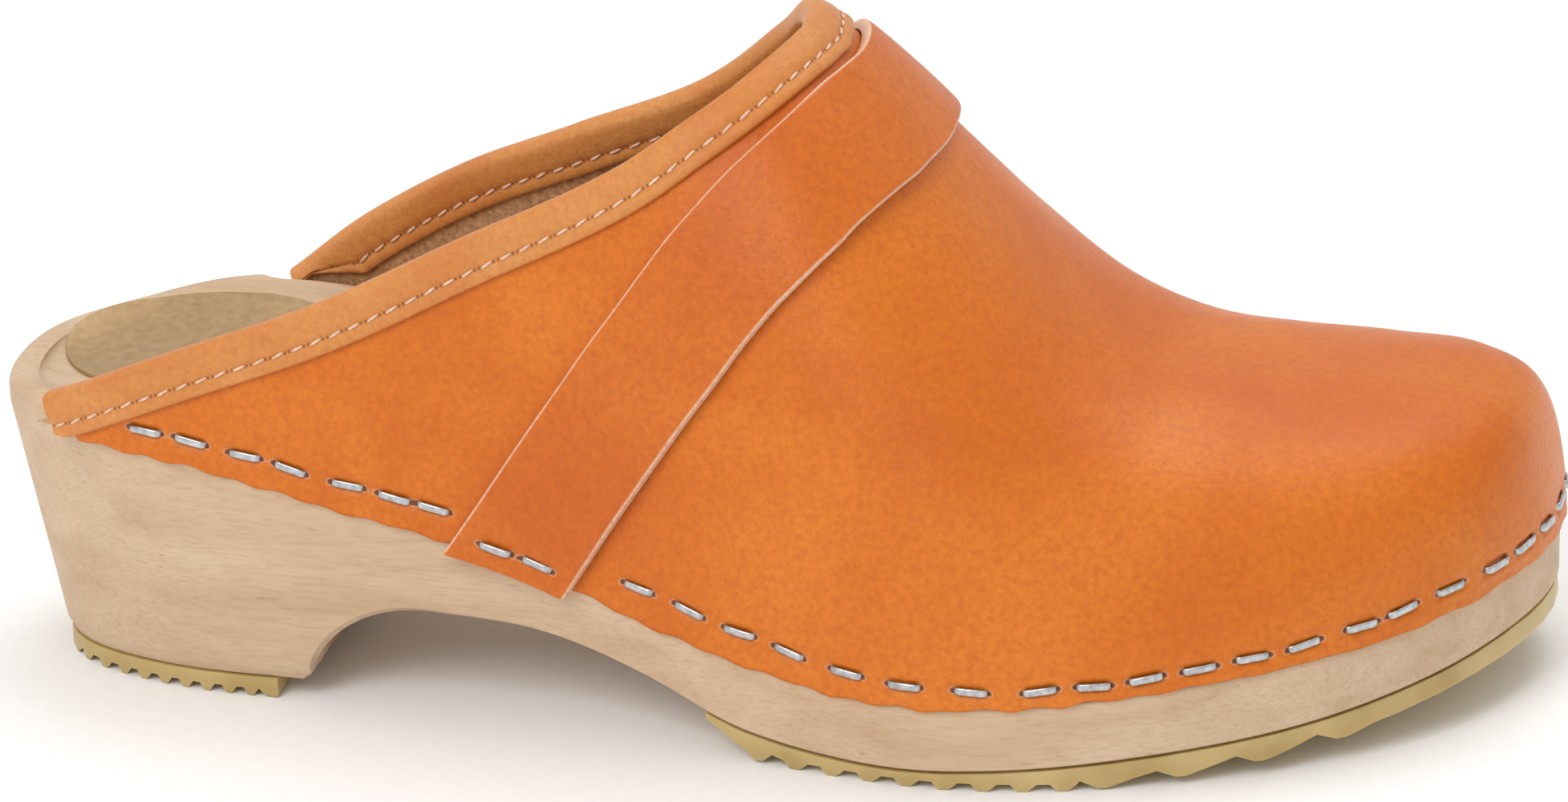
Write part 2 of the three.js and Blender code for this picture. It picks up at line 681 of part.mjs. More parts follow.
// ---------------------------------------------------------------- toe stiffener
// A moulded puff that lines the toe box and stops just above the wood.
const stiffenerOutside = -(leather + gap);
const stiffenerBack = 0.80;
const stiffenerFront = 0.967;
function stiffenerGrid(offset) {
  const rows = 9;
  const columns = 14;
  const deepest = stiffenerOutside - stiffener;
  const lowest = (u, side) => {
    let low = 0;
    let high = Math.PI / 2;
    for (let step = 0; step < 20; step += 1) {
      const middle = (low + high) / 2;
      const point = skin(u, side < 0 ? middle : Math.PI - middle, deepest);
      if (point.z < soleTop(Math.min(point.x, soleLength)) + rimCrown + 2 * gap) low = middle;
      else high = middle;
    }
    return side < 0 ? high : Math.PI - high;
  };
  const grid = [];
  for (let i = 0; i <= rows; i += 1) {
    const u = lerp(stiffenerBack, stiffenerFront, i / rows);
    const start = lowest(u, -1);
    const end = lowest(u, 1);
    const row = [];
    for (let j = 0; j <= columns; j += 1) row.push(skin(u, lerp(start, end, j / columns), offset));
    grid.push(row);
  }
  return grid;
}
const stiffenerGeometry = sheet(
  stiffenerGrid(stiffenerOutside),
  stiffenerGrid(stiffenerOutside - stiffener),
);

// ---------------------------------------------------------------- staples
// A staple lies along the edge of the leather with both legs driven through it into the wood.
function stapleGeometry() {
  const half = 0.5 * stapleCrown;
  const inner = half - stapleThick;
  const face = 0.5 * stapleThick;
  const round = 0.45;
  const shape = new THREE.Shape([
    [-half, face - stapleLeg], [-inner, face - stapleLeg], [-inner, -face], [inner, -face],
    [inner, face - stapleLeg], [half, face - stapleLeg], [half, face - round], [half - round, face],
    [round - half, face], [-half, face - round],
  ].map(([x, y]) => new THREE.Vector2(x, y)));
  const geometry = new THREE.ExtrudeGeometry(shape, { depth: stapleWire, bevelEnabled: false });
  return geometry.translate(0, 0, -0.5 * stapleWire);
}

outline.arcLengthDivisions = 1200;
const outlineLengths = outline.getLengths();
const outlineTotal = outlineLengths.at(-1);
const toeDistance = outlineLengths[outline.arcLengthDivisions / 2];
function distanceAt(x, side) {
  let near = side < 0 ? 0 : toeDistance;
  let far = side < 0 ? toeDistance : outlineTotal;
  for (let step = 0; step < 40; step += 1) {
    const middle = (near + far) / 2;
    const beyond = outline.getPointAt(middle / outlineTotal).x > x;
    if (beyond === (side < 0)) far = middle;
    else near = middle;
  }
  return near;
}

// Height of the crowns above the edge of the leather, by share of the length.
const stapleLift = curveThrough([
  [0.08, 0.44], [0.2, 0.5], [0.35, 0.55], [0.5, 0.6], [0.6, 0.45],
  [0.7, 0.31], [0.88, 0.33], [0.95, 0.45], [1, 0.4],
].map(([share, lift]) => [share * soleLength, lift * leatherCover]));

const toeBulge = 0.9;            // the toe box swells this much past its edge at the crowns

// Places one staple at a distance along the outline, on top of so many millimetres of extra leather.
function placeStaple(mesh, distance, extra, tilt, lower) {
  const turn = outline.getUtoTmapping(0, distance);
  const point = outline.getPoint(turn);
  const along = outline.getTangent(turn);
  const outward = vec(along.y, -along.x);
  const step = 1;
  const rise = leatherEdge(point.x + along.x * step) + stapleLift(point.x + along.x * step)
    - leatherEdge(point.x - along.x * step) - stapleLift(point.x - along.x * step);
  along.z = rise / (2 * step) + Math.tan(tilt);
  along.normalize();
  const across = along.clone().cross(outward).normalize();
  const matrix = new THREE.Matrix4().makeBasis(along, outward, across);
  const side = distance < toeDistance ? -1 : 1;
  const bulge = toeBulge * THREE.MathUtils.smoothstep(point.x, 0.9 * soleLength, 0.955 * soleLength);
  const lifted = proud(point.x, side) + gap + bulge + 0.5 * stapleThick + extra;
  const centre = insetFrom({ point, outward }, -lifted, leatherEdge(point.x) + stapleLift(point.x) - lower);
  mesh.quaternion.setFromRotationMatrix(matrix);
  mesh.position.copy(centre);
  mesh.updateMatrix();
}

// Hand-driven gaps between the outer staples, from the tail to the toe tip; the strap has its own two.
const outerGaps = [
  7.8, 9.3, 7.8, 9.8, 7.9, 6.6, 36, 9.4, 9.1, 8.9, 10.3, 10.1, 11,
  11.1, 8.6, 8.4, 8.6, 8.6, 8.6, 9.9, 7.4, 9.1, 9.9, 8, 8.2, 9.2,
];
const outerTailGap = 12.3;       // the first staple lies this far ahead of the tail
function outerPlaces() {
  const start = distanceAt(outerTailFoot * soleLength, -1) + outerTailGap;
  const stretch = (toeDistance + 2 - start) / outerGaps.reduce((sum, value) => sum + value, 0);
  const places = [start];
  for (const value of outerGaps) places.push(places.at(-1) + value * stretch);
  return places;
}
function innerPlaces() {
  const start = toeDistance + 11;
  const end = distanceAt(innerTailFoot * soleLength, 1) - outerTailGap;
  const places = [];
  for (let k = 0; k < medialStaples; k += 1) {
    const sway = Math.sin(2.4 * k) * 0.9;
    places.push(lerp(start, end, k / (medialStaples - 1)) + (k % (medialStaples - 1) ? sway : 0));
  }
  const strap = distanceAt(strapLine(182) * soleLength, 1);
  return places.filter((place) => Math.abs(place - strap) > 0.5 * (strapWidth + stapleCrown) + 2.5);
}
function strapPlaces(side) {
  const turn = side < 0 ? -2 : 182;
  const lean = 0.17 * strapWidth;
  const middle = distanceAt(strapLine(turn) * soleLength, side) - side * lean;
  const reach = 0.36 * strapWidth;
  return [middle - 0.5 * reach, middle + 0.5 * reach];
}

const stapleShape = stapleGeometry();
const staples = [];
function addStaple(name, distance, extra, tilt, lower = 0) {
  const steel = new THREE.MeshStandardMaterial({ color: 0xc9c9c6, roughness: 0.3, metalness: 1 });
  const mesh = new THREE.Mesh(stapleShape, steel);
  mesh.name = name;
  placeStaple(mesh, distance, extra, tilt, lower);
  staples.push(mesh);
}
const twoDigits = (number) => String(number).padStart(2, '0');
const handTilt = (k) => radians(5 * Math.sin(3.7 * k));
outerPlaces().forEach((place, k) => {
  addStaple(`staple_outer_${twoDigits(k + 1)}`, place, 0, handTilt(k));
});
innerPlaces().forEach((place, k) => {
  addStaple(`staple_inner_${twoDigits(k + 1)}`, place, 0, handTilt(k + 40));
});
const onStrap = laidGap + strapLeather;
const strapStapleLower = 2.6;
for (const [side, word] of [[-1, 'outer'], [1, 'inner']]) {
  strapPlaces(side).forEach((place, k) => {
    addStaple(`strap_staple_${word}_${k + 1}`, place, onStrap, handTilt(k), strapStapleLower);
  });
}

// Leg holes, a little larger than the wire and a little deeper than the legs.
function legHoles(mesh) {
  const clearance = 0.25;
  return [-1, 1].map((hand) => {
    const depth = stapleLeg + gap + 2;
    const hole = new THREE.BoxGeometry(stapleThick + 2 * clearance, depth, stapleWire + 2 * clearance);
    hole.translate(hand * 0.5 * (stapleCrown - stapleThick), 2 - 0.5 * depth, 0);
    return toSolid(hole.applyMatrix4(mesh.matrix));
  });
}
const holes = staples.flatMap(legHoles);
const strapHoles = staples.filter((mesh) => mesh.name.startsWith('strap')).flatMap(legHoles);

// ---------------------------------------------------------------- the assembled clog
addMesh('wooden_sole', cut(soleGeometry, holes), 0xdcc3a2, 0.62);
addMesh('heel_rubber', toGeometry(heelRubber), 0xa99d5e, 0.4);
addMesh('forefoot_rubber', toGeometry(forefootRubber), 0xa99d5e, 0.4);
addMesh('heel_label', labelGeometry, 0xb79a5c, 0.4);
addMesh('toe_stiffener', stiffenerGeometry, 0xd8d2c4, 0.6);
addMesh('leather_upper', cut(upperGeometry, holes), 0xd2782b, 0.45);
addMesh('topline_binding', bindingGeometry, 0xdd8f4f, 0.5);
addMesh('instep_strap', cut(strapGeometry, strapHoles), 0xcf7530, 0.45);
for (const staple of staples) group.add(staple);

// The origin moves to the middle of the box round the clog, at the height of the rib feet.
const whole = new THREE.Box3().setFromObject(group, true);
const origin = whole.getCenter(vec(0, 0)).setZ(whole.min.z);
for (const mesh of group.children) mesh.position.sub(origin);

export default group;
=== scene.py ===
import math

import bmesh
import bpy
import numpy as np
from mathutils import Matrix, Vector


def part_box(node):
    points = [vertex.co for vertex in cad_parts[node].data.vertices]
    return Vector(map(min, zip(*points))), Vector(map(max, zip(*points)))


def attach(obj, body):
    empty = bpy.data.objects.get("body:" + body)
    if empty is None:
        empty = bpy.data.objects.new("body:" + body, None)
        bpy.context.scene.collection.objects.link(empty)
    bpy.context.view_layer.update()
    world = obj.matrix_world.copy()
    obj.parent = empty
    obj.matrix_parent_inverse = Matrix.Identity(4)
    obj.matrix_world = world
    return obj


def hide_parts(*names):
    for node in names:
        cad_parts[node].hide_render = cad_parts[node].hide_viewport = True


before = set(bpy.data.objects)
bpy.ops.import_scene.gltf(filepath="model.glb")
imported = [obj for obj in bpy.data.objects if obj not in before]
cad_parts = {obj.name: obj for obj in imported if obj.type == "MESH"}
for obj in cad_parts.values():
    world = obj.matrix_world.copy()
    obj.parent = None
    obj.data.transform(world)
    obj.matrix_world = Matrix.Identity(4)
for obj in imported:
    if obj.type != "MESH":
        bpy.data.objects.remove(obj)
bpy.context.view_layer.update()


# ---------------------------------------------------------------- wooden sole
# One block of alder, milled to the shape of the foot, with a raised heel, a crowned rim round the
# dished footbed and a shallow rebate for the leather. It is sanded smooth and left bare.
def linear(code, alpha=1.0):
    """The linear colour of an sRGB hex value."""
    parts = [int(code[i:i + 2], 16) / 255 for i in (1, 3, 5)]
    return [c / 12.92 if c <= 0.04045 else ((c + 0.055) / 1.055) ** 2.4 for c in parts] + [alpha]


def add(tree, kind, inputs=None, ramp=None, **settings):
    """Adds one node; its inputs are plain values or the outputs of other nodes."""
    made = tree.nodes.new("ShaderNode" + kind)
    for key, value in settings.items():
        setattr(made, key, value)
    for key, value in (inputs or {}).items():
        if isinstance(value, bpy.types.NodeSocket):
            tree.links.new(value, made.inputs[key])
        else:
            made.inputs[key].default_value = value
    for at, (place, colour) in enumerate(ramp or []):
        stops = made.color_ramp.elements
        stop = stops[at] if at < 2 else stops.new(place)
        stop.position = place
        stop.color = linear(colour)
    return made


def empty_material(name):
    material = bpy.data.materials.new(name)
    material.use_nodes = True
    material.node_tree.nodes.clear()
    return material, material.node_tree


def every(size):
    """The scale of a pattern that repeats about every so many millimetres."""
    return 1000 / size


def surface(tree, inputs):
    """The shader of a material, joined to its output."""
    shader = add(tree, "BsdfPrincipled", inputs)
    add(tree, "OutputMaterial", {"Surface": shader.outputs[0]})


def smooth_rows(rows):
    """A smooth function through rows of [place, value, ...], constant past both ends."""
    rows = np.array(rows, float)
    places, values = rows[:, 0], rows[:, 1:]

    def at(x):
        x = np.clip(np.asarray(x, float), places[0], places[-1])
        i = np.clip(np.searchsorted(places, x, side="right"), 1, len(places) - 1)
        start, stop = places[i - 1], places[i]
        before = np.where(i >= 2, i - 2, i)
        after = np.where(i + 1 < len(places), np.minimum(i + 1, len(places) - 1), i - 1)
        half = 0.5 * (stop - start)
        wb = (half / (start - places[before]))[..., None]
        wa = (half / (places[after] - stop))[..., None]
        p = ((x - start) / (stop - start))[..., None]
        pp, ppp = p * p, p * p * p
        return (
            (-wb * ppp + 2 * wb * pp - wb * p) * values[before]
            + ((1 + wb) * ppp + (-1.5 - 2 * wb) * pp + (-0.5 + wb) * p + 1) * values[i - 1]
            + ((-1 - wa) * ppp + (1.5 + wa) * pp + 0.5 * p) * values[i]
            + (wa * ppp - wa * pp) * values[after]
        )

    return at


def one(rows):
    several = smooth_rows(rows)
    return lambda x: several(x)[..., 0]


def smoothstep(x, low, high):
    t = np.clip((np.asarray(x, float) - low) / (high - low), 0, 1)
    return t * t * (3 - 2 * t)


sole_length, heel_width, waist_width, ball_width = 255.0, 69.0, 67.3, 98.6
heel_height, heel_rubber_height, arch_height = 48.8, 3.7, 18.4
heel_block, arch_run, ball_rubber, toe_spring = 55.0, 21.0, 2.9, 11.4
heel_back_taper, heel_side_taper = 7.0, 4.0
rim_width, rim_crown, rim_round, seat_depth, arch_support = 5.0, 0.7, 1.3, 3.2, 1.6
leather, leather_proud, leather_cover, upper_rise = 2.2, 0.8, 9.0, 94.0
binding_leather, play = 1.0, 0.3
tail_share = {-1: 0.055, 1: 0.150}

# From the back of the heel to the middle of the clog's box, in millimetres.
inner_shift = 3.716
row_shift = np.array([1000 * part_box("wooden_sole")[0].x, inner_shift, 0.0])


def placed(points):
    """Row-frame places in metres of points measured from the back of the heel."""
    return (np.asarray(points, float) + row_shift) * 0.001


outline_rows = [
    (0.010, heel_width, 0.188, 0.188), (0.039, heel_width, 0.312, 0.306),
    (0.110, heel_width, 0.425, 0.455), (0.239, heel_width, 0.491, 0.509),
    (0.380, waist_width, 0.544, 0.456), (0.518, ball_width, 0.469, 0.376),
    (0.655, ball_width, 0.544, 0.456), (0.780, ball_width, 0.497, 0.467),
    (0.878, ball_width, 0.391, 0.436), (0.953, ball_width, 0.229, 0.331),
    (0.990, ball_width, 0.062, 0.214),
]


def outline_sides():
    """Both sides of the sole's outline: x, y and the direction that leads away from the sole."""
    outer = [(share * sole_length, -part * width) for share, width, part, _ in outline_rows]
    inner = [(share * sole_length, part * width) for share, width, _, part in outline_rows]
    tip = (sole_length, 0.5 * (outer[-1][1] + inner[-1][1]))
    loop = np.array([(0.0, 0.0), *outer, tip, *inner[::-1]])
    w = np.linspace(0, 1, 240, endpoint=False)[:, None]
    runs, slopes = [], []
    for k in range(len(loop)):
        a, b, c, d = (loop[(k + m) % len(loop)] for m in (-1, 0, 1, 2))
        ab, bc, cd = (math.sqrt(np.linalg.norm(q - p)) for p, q in ((a, b), (b, c), (c, d)))
        t1 = ((b - a) / ab - (c - a) / (ab + bc) + (c - b) / bc) * bc
        t2 = ((c - b) / bc - (d - b) / (bc + cd) + (d - c) / cd) * bc
        cubic, square = 2 * b - 2 * c + t1 + t2, -3 * b + 3 * c - 2 * t1 - t2
        runs.append(b + t1 * w + square * w**2 + cubic * w**3)
        slopes.append(t1 + 2 * square * w + 3 * cubic * w**2)
    at, slope = np.vstack(runs), np.vstack(slopes)
    slope /= np.linalg.norm(slope, axis=1)[:, None]
    away = np.stack([slope[:, 1], -slope[:, 0]], 1)
    half = len(at) // 2
    order = {-1: np.arange(half + 1), 1: np.r_[0, np.arange(len(at) - 1, half - 1, -1)]}
    return {side: (at[i, 0], at[i, 1], away[i, 0], away[i, 1]) for side, i in order.items()}


sides = outline_sides()


def inset_from(x, side, inset, z):
    """Points at a station x, moved in from the outline by an inset, at a height z."""
    xs, ys, ax, ay = sides[side]
    x = np.asarray(x, float)
    along, across = np.interp(x, xs, ax), np.interp(x, xs, ay)
    size = np.hypot(along, across)
    px = np.clip(x, 0, sole_length) - along / size * inset
    py = np.interp(x, xs, ys) - across / size * inset
    return np.stack(np.broadcast_arrays(px, py, z), -1)


sole_top = one([(s * sole_length, h * heel_height) for s, h in (
    (0, 0.972), (0.118, 1), (0.235, 0.92), (0.353, 0.8), (0.47, 0.62),
    (0.588, 0.5), (0.706, 0.5), (0.824, 0.555), (0.94, 0.62), (1, 0.68))])
arch_end = heel_block + arch_run
underside = one([(arch_end + s * (sole_length - arch_end), z) for s, z in (
    (0, arch_height), (0.11, 0.91 * arch_height), (0.22, 0.62 * arch_height),
    (0.305, 0.30 * arch_height), (0.42, ball_rubber), (0.555, ball_rubber + 0.05 * toe_spring),
    (0.695, ball_rubber + 0.22 * toe_spring), (0.833, ball_rubber + 0.46 * toe_spring),
    (0.917, ball_rubber + 0.70 * toe_spring), (1, ball_rubber + toe_spring))])


def sole_bottom(x):
    t = np.clip((np.asarray(x, float) - heel_block) / arch_run, 0, 1)
    breast = heel_rubber_height + (arch_height - heel_rubber_height) * (1 - (1 - t) ** 2) ** 0.62
    return np.where(np.asarray(x) >= arch_end, underside(x), breast)


underside_inset = one([
    (0, heel_back_taper), (0.2 * heel_block, 0.5 * (heel_back_taper + heel_side_taper)),
    (0.6 * heel_block, heel_side_taper), (heel_block, 0.9 * heel_side_taper),
    (arch_end, 0.4 * heel_side_taper), (0.45 * sole_length, 1.0), (0.55 * sole_length, 0.5),
    (sole_length, 0.5)])
cover = one([(s * sole_length, c * leather_cover) for s, c in (
    (0.05, 0.39), (0.157, 0.67), (0.275, 0.89), (0.43, 1), (1, 1))])
wall_draft = one([(0, 0.2), (0.5 * sole_length, 0.7), (0.85 * sole_length, 1.6), (sole_length, 2.2)])
rim_lift = one([(s * sole_length, r * arch_support) for s, r in (
    (0.06, 0), (0.16, 1), (0.28, 1), (0.5, 0))])


def leather_edge(x):
    """The height of the upper's lower edge."""
    return sole_top(x) - cover(x)


def rebate_at(x, side):
    tail = tail_share[side] * sole_length
    return (leather - leather_proud + play + 0.2) * smoothstep(x, tail - 5, tail - 2)


def rim_height(x, side):
    return sole_top(x) + (rim_lift(x) if side > 0 else 0)


def rim_edge(x, side):
    return inset_from(x, side, rim_width + 0.8 * rebate_at(x, side), rim_height(x, side))


widest_rim = np.linalg.norm(rim_edge(0.65 * sole_length, -1) - rim_edge(0.65 * sole_length, 1))


def footbed(x, share):
    """The dished seat between the rims; share runs from the outer to the inner side."""
    outer, inner = rim_edge(x, -1), rim_edge(x, 1)
    narrow = np.minimum(1, np.linalg.norm(inner - outer, axis=-1) / (0.45 * widest_rim))
    at = outer + (inner - outer) * np.asarray(share)[..., None]
    at[..., 2] -= seat_depth * narrow * 4 * share * (1 - share)
    return at


def sole_side(x, side):
    """One side of a cross-section of the sole, from its foot up to the inner edge of the rim."""
    depth = float(rebate_at(x, side))
    ledge, top = float(leather_edge(x)) - play, float(rim_height(x, side))
    foot = inset_from(x, side, underside_inset(x), 0.0)
    foot[2] = sole_bottom(foot[0])
    brow = inset_from(x, side, 0.0, ledge)
    wall = [foot + (brow - foot) * t for t in (0.05, 0.09, 0.3, 0.5, 0.7, 0.9, 0.97)]
    wall_top = depth + (float(wall_draft(x)) if depth > 0.1 else 0)
    soft_edge = 0.25
    points = [foot + (brow - foot) * 0.02 + inset_from(x, side, 0.9, 0) - inset_from(x, side, 0, 0)]
    points += wall + [inset_from(x, side, 0.06, ledge - soft_edge),
                      inset_from(x, side, min(depth, soft_edge), ledge)]
    points += [inset_from(x, side, depth, ledge)]
    points += [inset_from(x, side, depth + (wall_top - depth) * t,
                          ledge + (top - rim_round - ledge) * t) for t in (0.3, 0.6, 0.9)]
    for turn in np.radians([10, 30, 50, 70, 90]):
        points.append(inset_from(x, side, wall_top + rim_round * (1 - math.cos(turn)),
                                 top - rim_round * (1 - math.sin(turn))))
    start, stop = wall_top + rim_round, rim_width + 0.8 * depth
    for t in (0.12, 0.26, 0.4, 0.55, 0.7, 0.85, 1.0):
        points.append(inset_from(x, side, start + (stop - start) * t, top + rim_crown * 4 * t * (1 - t)))
    return np.array(points)


def sole_section(x):
    """A closed cross-section: up the outer side, over the footbed and down the inner side."""
    outer, inner = sole_side(x, -1), sole_side(x, 1)
    share = np.linspace(0, 1, 46)[1:-1]
    bed = footbed(np.full(len(share), x), share)
    over = np.vstack([outer[17:], bed, inner[17:][::-1]])
    for _ in range(6):
        over[3:-3, 2] += 0.5 * (0.5 * (over[2:-4, 2] + over[4:-2, 2]) - over[3:-3, 2])
    low = [outer[0] + (inner[0] - outer[0]) * t for t in np.linspace(1, 0, 9)[1:-1]]
    low = np.array(low)
    low[:, 2] = sole_bottom(low[:, 0])
    outer[0, 2], inner[0, 2] = sole_bottom(outer[0, 0]), sole_bottom(inner[0, 0])
    return np.vstack([outer[:17], over, inner[:17][::-1], low, outer[:1]])


def laid_grid(rows, columns, points, uv=None):
    """A grid of squares whose corners are moved to the points, given as [row, column, xyz]."""
    bm = bmesh.new()
    bmesh.ops.create_grid(bm, x_segments=rows, y_segments=columns, size=0.5)
    flat = np.array([v.co[:2] for v in bm.verts])
    flat = (flat - flat.min(0)) / (flat.max(0) - flat.min(0))
    i = np.rint(flat[:, 0] * rows).astype(int)
    j = np.rint(flat[:, 1] * columns).astype(int)
    at = placed(points[i, j])
    for vertex, co in zip(bm.verts, at):
        vertex.co = co
    if uv is not None:
        layer = bm.loops.layers.uv.new("flat_mm")
        for face in bm.faces:
            for loop in face.loops:
                k = loop.vert.index
                loop[layer].uv = uv[i[k], j[k]]
    return bm, i, j


def soften(bm, sharp=math.radians(38)):
    """Smooth shading, kept crisp along edges sharper than an angle."""
    for face in bm.faces:
        face.smooth = True
    for edge in bm.edges:
        edge.smooth = len(edge.link_faces) != 2 or edge.calc_face_angle(0) < sharp


def face_out(bm):
    """Turns a sheet so that its highest face looks up."""
    if max(bm.faces, key=lambda f: f.calc_center_median().z).normal.z < 0:
        bmesh.ops.reverse_faces(bm, faces=bm.faces)


def close_up(bm, join, sharp):
    """Joins the seam of a rolled-up grid, caps its ends and shades it."""
    bmesh.ops.remove_doubles(bm, verts=bm.verts, dist=join)
    bmesh.ops.holes_fill(bm, edges=[e for e in bm.edges if e.is_boundary], sides=0)
    bmesh.ops.recalc_face_normals(bm, faces=bm.faces)
    soften(bm, math.radians(sharp))


def thicken(made, thickness):
    """Gives a sheet its thickness in millimetres, inwards."""
    wall = made.modifiers.new("thickness", "SOLIDIFY")
    wall.thickness = thickness * 0.001
    wall.offset = -1
    return wall


def piece(name, bm, materials, record_slot, *nodes):
    """A finished piece at the origin, riding on the clog, in the place of its CAD nodes."""
    mesh = bpy.data.meshes.new(name)
    bm.to_mesh(mesh)
    bm.free()
    for material in materials:
        mesh.materials.append(material)
    made = bpy.data.objects.new(name, mesh)
    bpy.context.scene.collection.objects.link(made)
    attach(made, "root")
    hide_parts(*nodes)
    return made


# Bare alder: pale pinkish beige with long soft grain, fine pores and a few short brown flecks.
alder, tree = empty_material("bare_alder")
place = add(tree, "TexCoord").outputs["Object"]
along_grain = add(tree, "Mapping", {"Vector": place, "Scale": (9, 150, 150), "Rotation": (0.05, 0.09, 0.02)})
bands = add(tree, "TexNoise", {"Vector": along_grain.outputs[0], "Scale": 1.0, "Detail": 5.0,
                               "Roughness": 0.55, "Distortion": 0.5})
tone = add(tree, "ValToRGB", {"Fac": bands.outputs["Fac"]},
           ramp=[(0.30, "#BFA07F"), (0.75, "#D2B799"), (0.5, "#C9AD8E")])
fine_grain = add(tree, "Mapping", {"Vector": place, "Scale": (110, 1900, 1900),
                                   "Rotation": (0.05, 0.09, 0.02)})
pores = add(tree, "TexNoise", {"Vector": fine_grain.outputs[0], "Scale": 1.0, "Detail": 3.0,
                               "Roughness": 0.6})
pore_mask = add(tree, "MapRange", {"Value": pores.outputs["Fac"], "From Min": 0.46, "From Max": 0.72,
                                   "To Max": 0.42})
grained = add(tree, "Mix", {0: pore_mask.outputs[0], 6: tone.outputs[0], 7: linear("#AA8767")},
              data_type="RGBA")
fleck_grain = add(tree, "Mapping", {"Vector": place, "Scale": (150, 1500, 1500),
                                    "Rotation": (0.05, 0.09, 0.02)})
flecks = add(tree, "TexNoise", {"Vector": fleck_grain.outputs[0], "Scale": 1.0, "Detail": 1.0})
fleck_mask = add(tree, "MapRange", {"Value": flecks.outputs["Fac"], "From Min": 0.73, "From Max": 0.8,
                                    "To Max": 0.5})
flecked = add(tree, "Mix", {0: fleck_mask.outputs[0], 6: grained.outputs[2], 7: linear("#9A6A45")},
              data_type="RGBA")
relief = add(tree, "Bump", {"Height": pores.outputs["Fac"], "Strength": 0.12, "Distance": 0.0002})
surface(tree, {"Base Color": flecked.outputs[2], "Roughness": 0.58, "Normal": relief.outputs[0]})

stations = sole_length * (1 - np.cos(np.linspace(0, math.pi, 150))) / 2
breast = heel_block + arch_run * np.array([-0.012, 0.0, 0.004, 0.012, 0.025, 0.045, 0.07, 0.1, 0.14, 0.2,
                                           0.27])
stations = np.unique(np.r_[stations, breast])
sections = np.array([sole_section(x) for x in stations])
bm, _, _ = laid_grid(len(stations) - 1, sections.shape[1] - 1, sections)
bmesh.ops.remove_doubles(bm, verts=bm.verts, dist=2e-6)
bmesh.ops.dissolve_degenerate(bm, edges=bm.edges, dist=1e-6)
bmesh.ops.recalc_face_normals(bm, faces=bm.faces)
soften(bm)
piece("sole_block", bm, [alder], "wood", "wooden_sole")


# ---------------------------------------------------------------- rubber treads
# Two moulded pads of translucent natural rubber under the heel and the forefoot, ribbed across,
# glued to the wood and sanded flush with it.
crepe, tree = empty_material("translucent_tread_rubber")
place = add(tree, "TexCoord").outputs["Object"]
cloud = add(tree, "TexNoise", {"Vector": place, "Scale": every(14.29), "Detail": 3.0})
tone = add(tree, "ValToRGB", {"Fac": cloud.outputs["Fac"]}, ramp=[(0.3, "#AD9258"), (0.72, "#C9B07A")])
scuffs = add(tree, "TexNoise", {"Vector": place, "Scale": every(1.111), "Detail": 3.0})
relief = add(tree, "Bump", {"Height": scuffs.outputs["Fac"], "Strength": 0.12, "Distance": 0.0002})
surface(tree, {"Base Color": tone.outputs[0], "Roughness": 0.34, "Subsurface Weight": 0.35,
               "Subsurface Radius": (0.004, 0.003,
                                     0.0012), "Subsurface Scale": 1.0, "Normal": relief.outputs[0]})


def moulded_pad(name, node):
    """A pad with the shape of its CAD node and a small rounding along its edges."""
    bm = bmesh.new()
    bm.from_mesh(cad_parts[node].data)
    bmesh.ops.remove_doubles(bm, verts=bm.verts, dist=2e-6)
    bmesh.ops.dissolve_limit(bm, angle_limit=math.radians(1.5), verts=bm.verts, edges=bm.edges)
    edges = [e for e in bm.edges if len(e.link_faces) == 2 and e.calc_face_angle(0) > math.radians(24)]
    bmesh.ops.bevel(bm, geom=edges, offset=0.00022, offset_type="OFFSET", segments=2, profile=0.5,
                    affect="EDGES", clamp_overlap=True, material=-1)
    soften(bm, math.radians(32))
    piece(name, bm, [crepe], "tread_rubber", node)


moulded_pad("heel_tread", "heel_rubber")
moulded_pad("forefoot_tread", "forefoot_rubber")


# ---------------------------------------------------------------- heel label
# An oval of thin foil-faced leather, glued into the seat of the heel. It is left blank.
foil, tree = empty_material("dull_gold_foil_on_leather")
place = add(tree, "TexCoord").outputs["Object"]
cloud = add(tree, "TexNoise", {"Vector": place, "Scale": every(1.667), "Detail": 4.0})
tone = add(tree, "ValToRGB", {"Fac": cloud.outputs["Fac"]}, ramp=[(0.3, "#A08158"), (0.7, "#B39268")])
fine = add(tree, "TexNoise", {"Vector": place, "Scale": every(0.625), "Detail": 2.0})
relief = add(tree, "Bump", {"Height": fine.outputs["Fac"], "Strength": 0.2, "Distance": 0.0001})
surface(tree, {"Base Color": tone.outputs[0], "Roughness": 0.42, "Metallic": 0.35,
               "Normal": relief.outputs[0]})

label_length, label_width, label_turn, label_thickness = 66.0, 38.0, math.radians(-8), 0.4
label_centre = np.array([0.154 * sole_length, 0.049 * ball_width])


def footbed_at(x, y):
    """The seat straight below a place in plan."""
    station = np.array(x, float)
    for _ in range(8):
        outer, inner = rim_edge(station, -1), rim_edge(station, 1)
        at = footbed(station, (y - outer[..., 1]) / (inner[..., 1] - outer[..., 1]))
        station = station + x - at[..., 0]
    return at


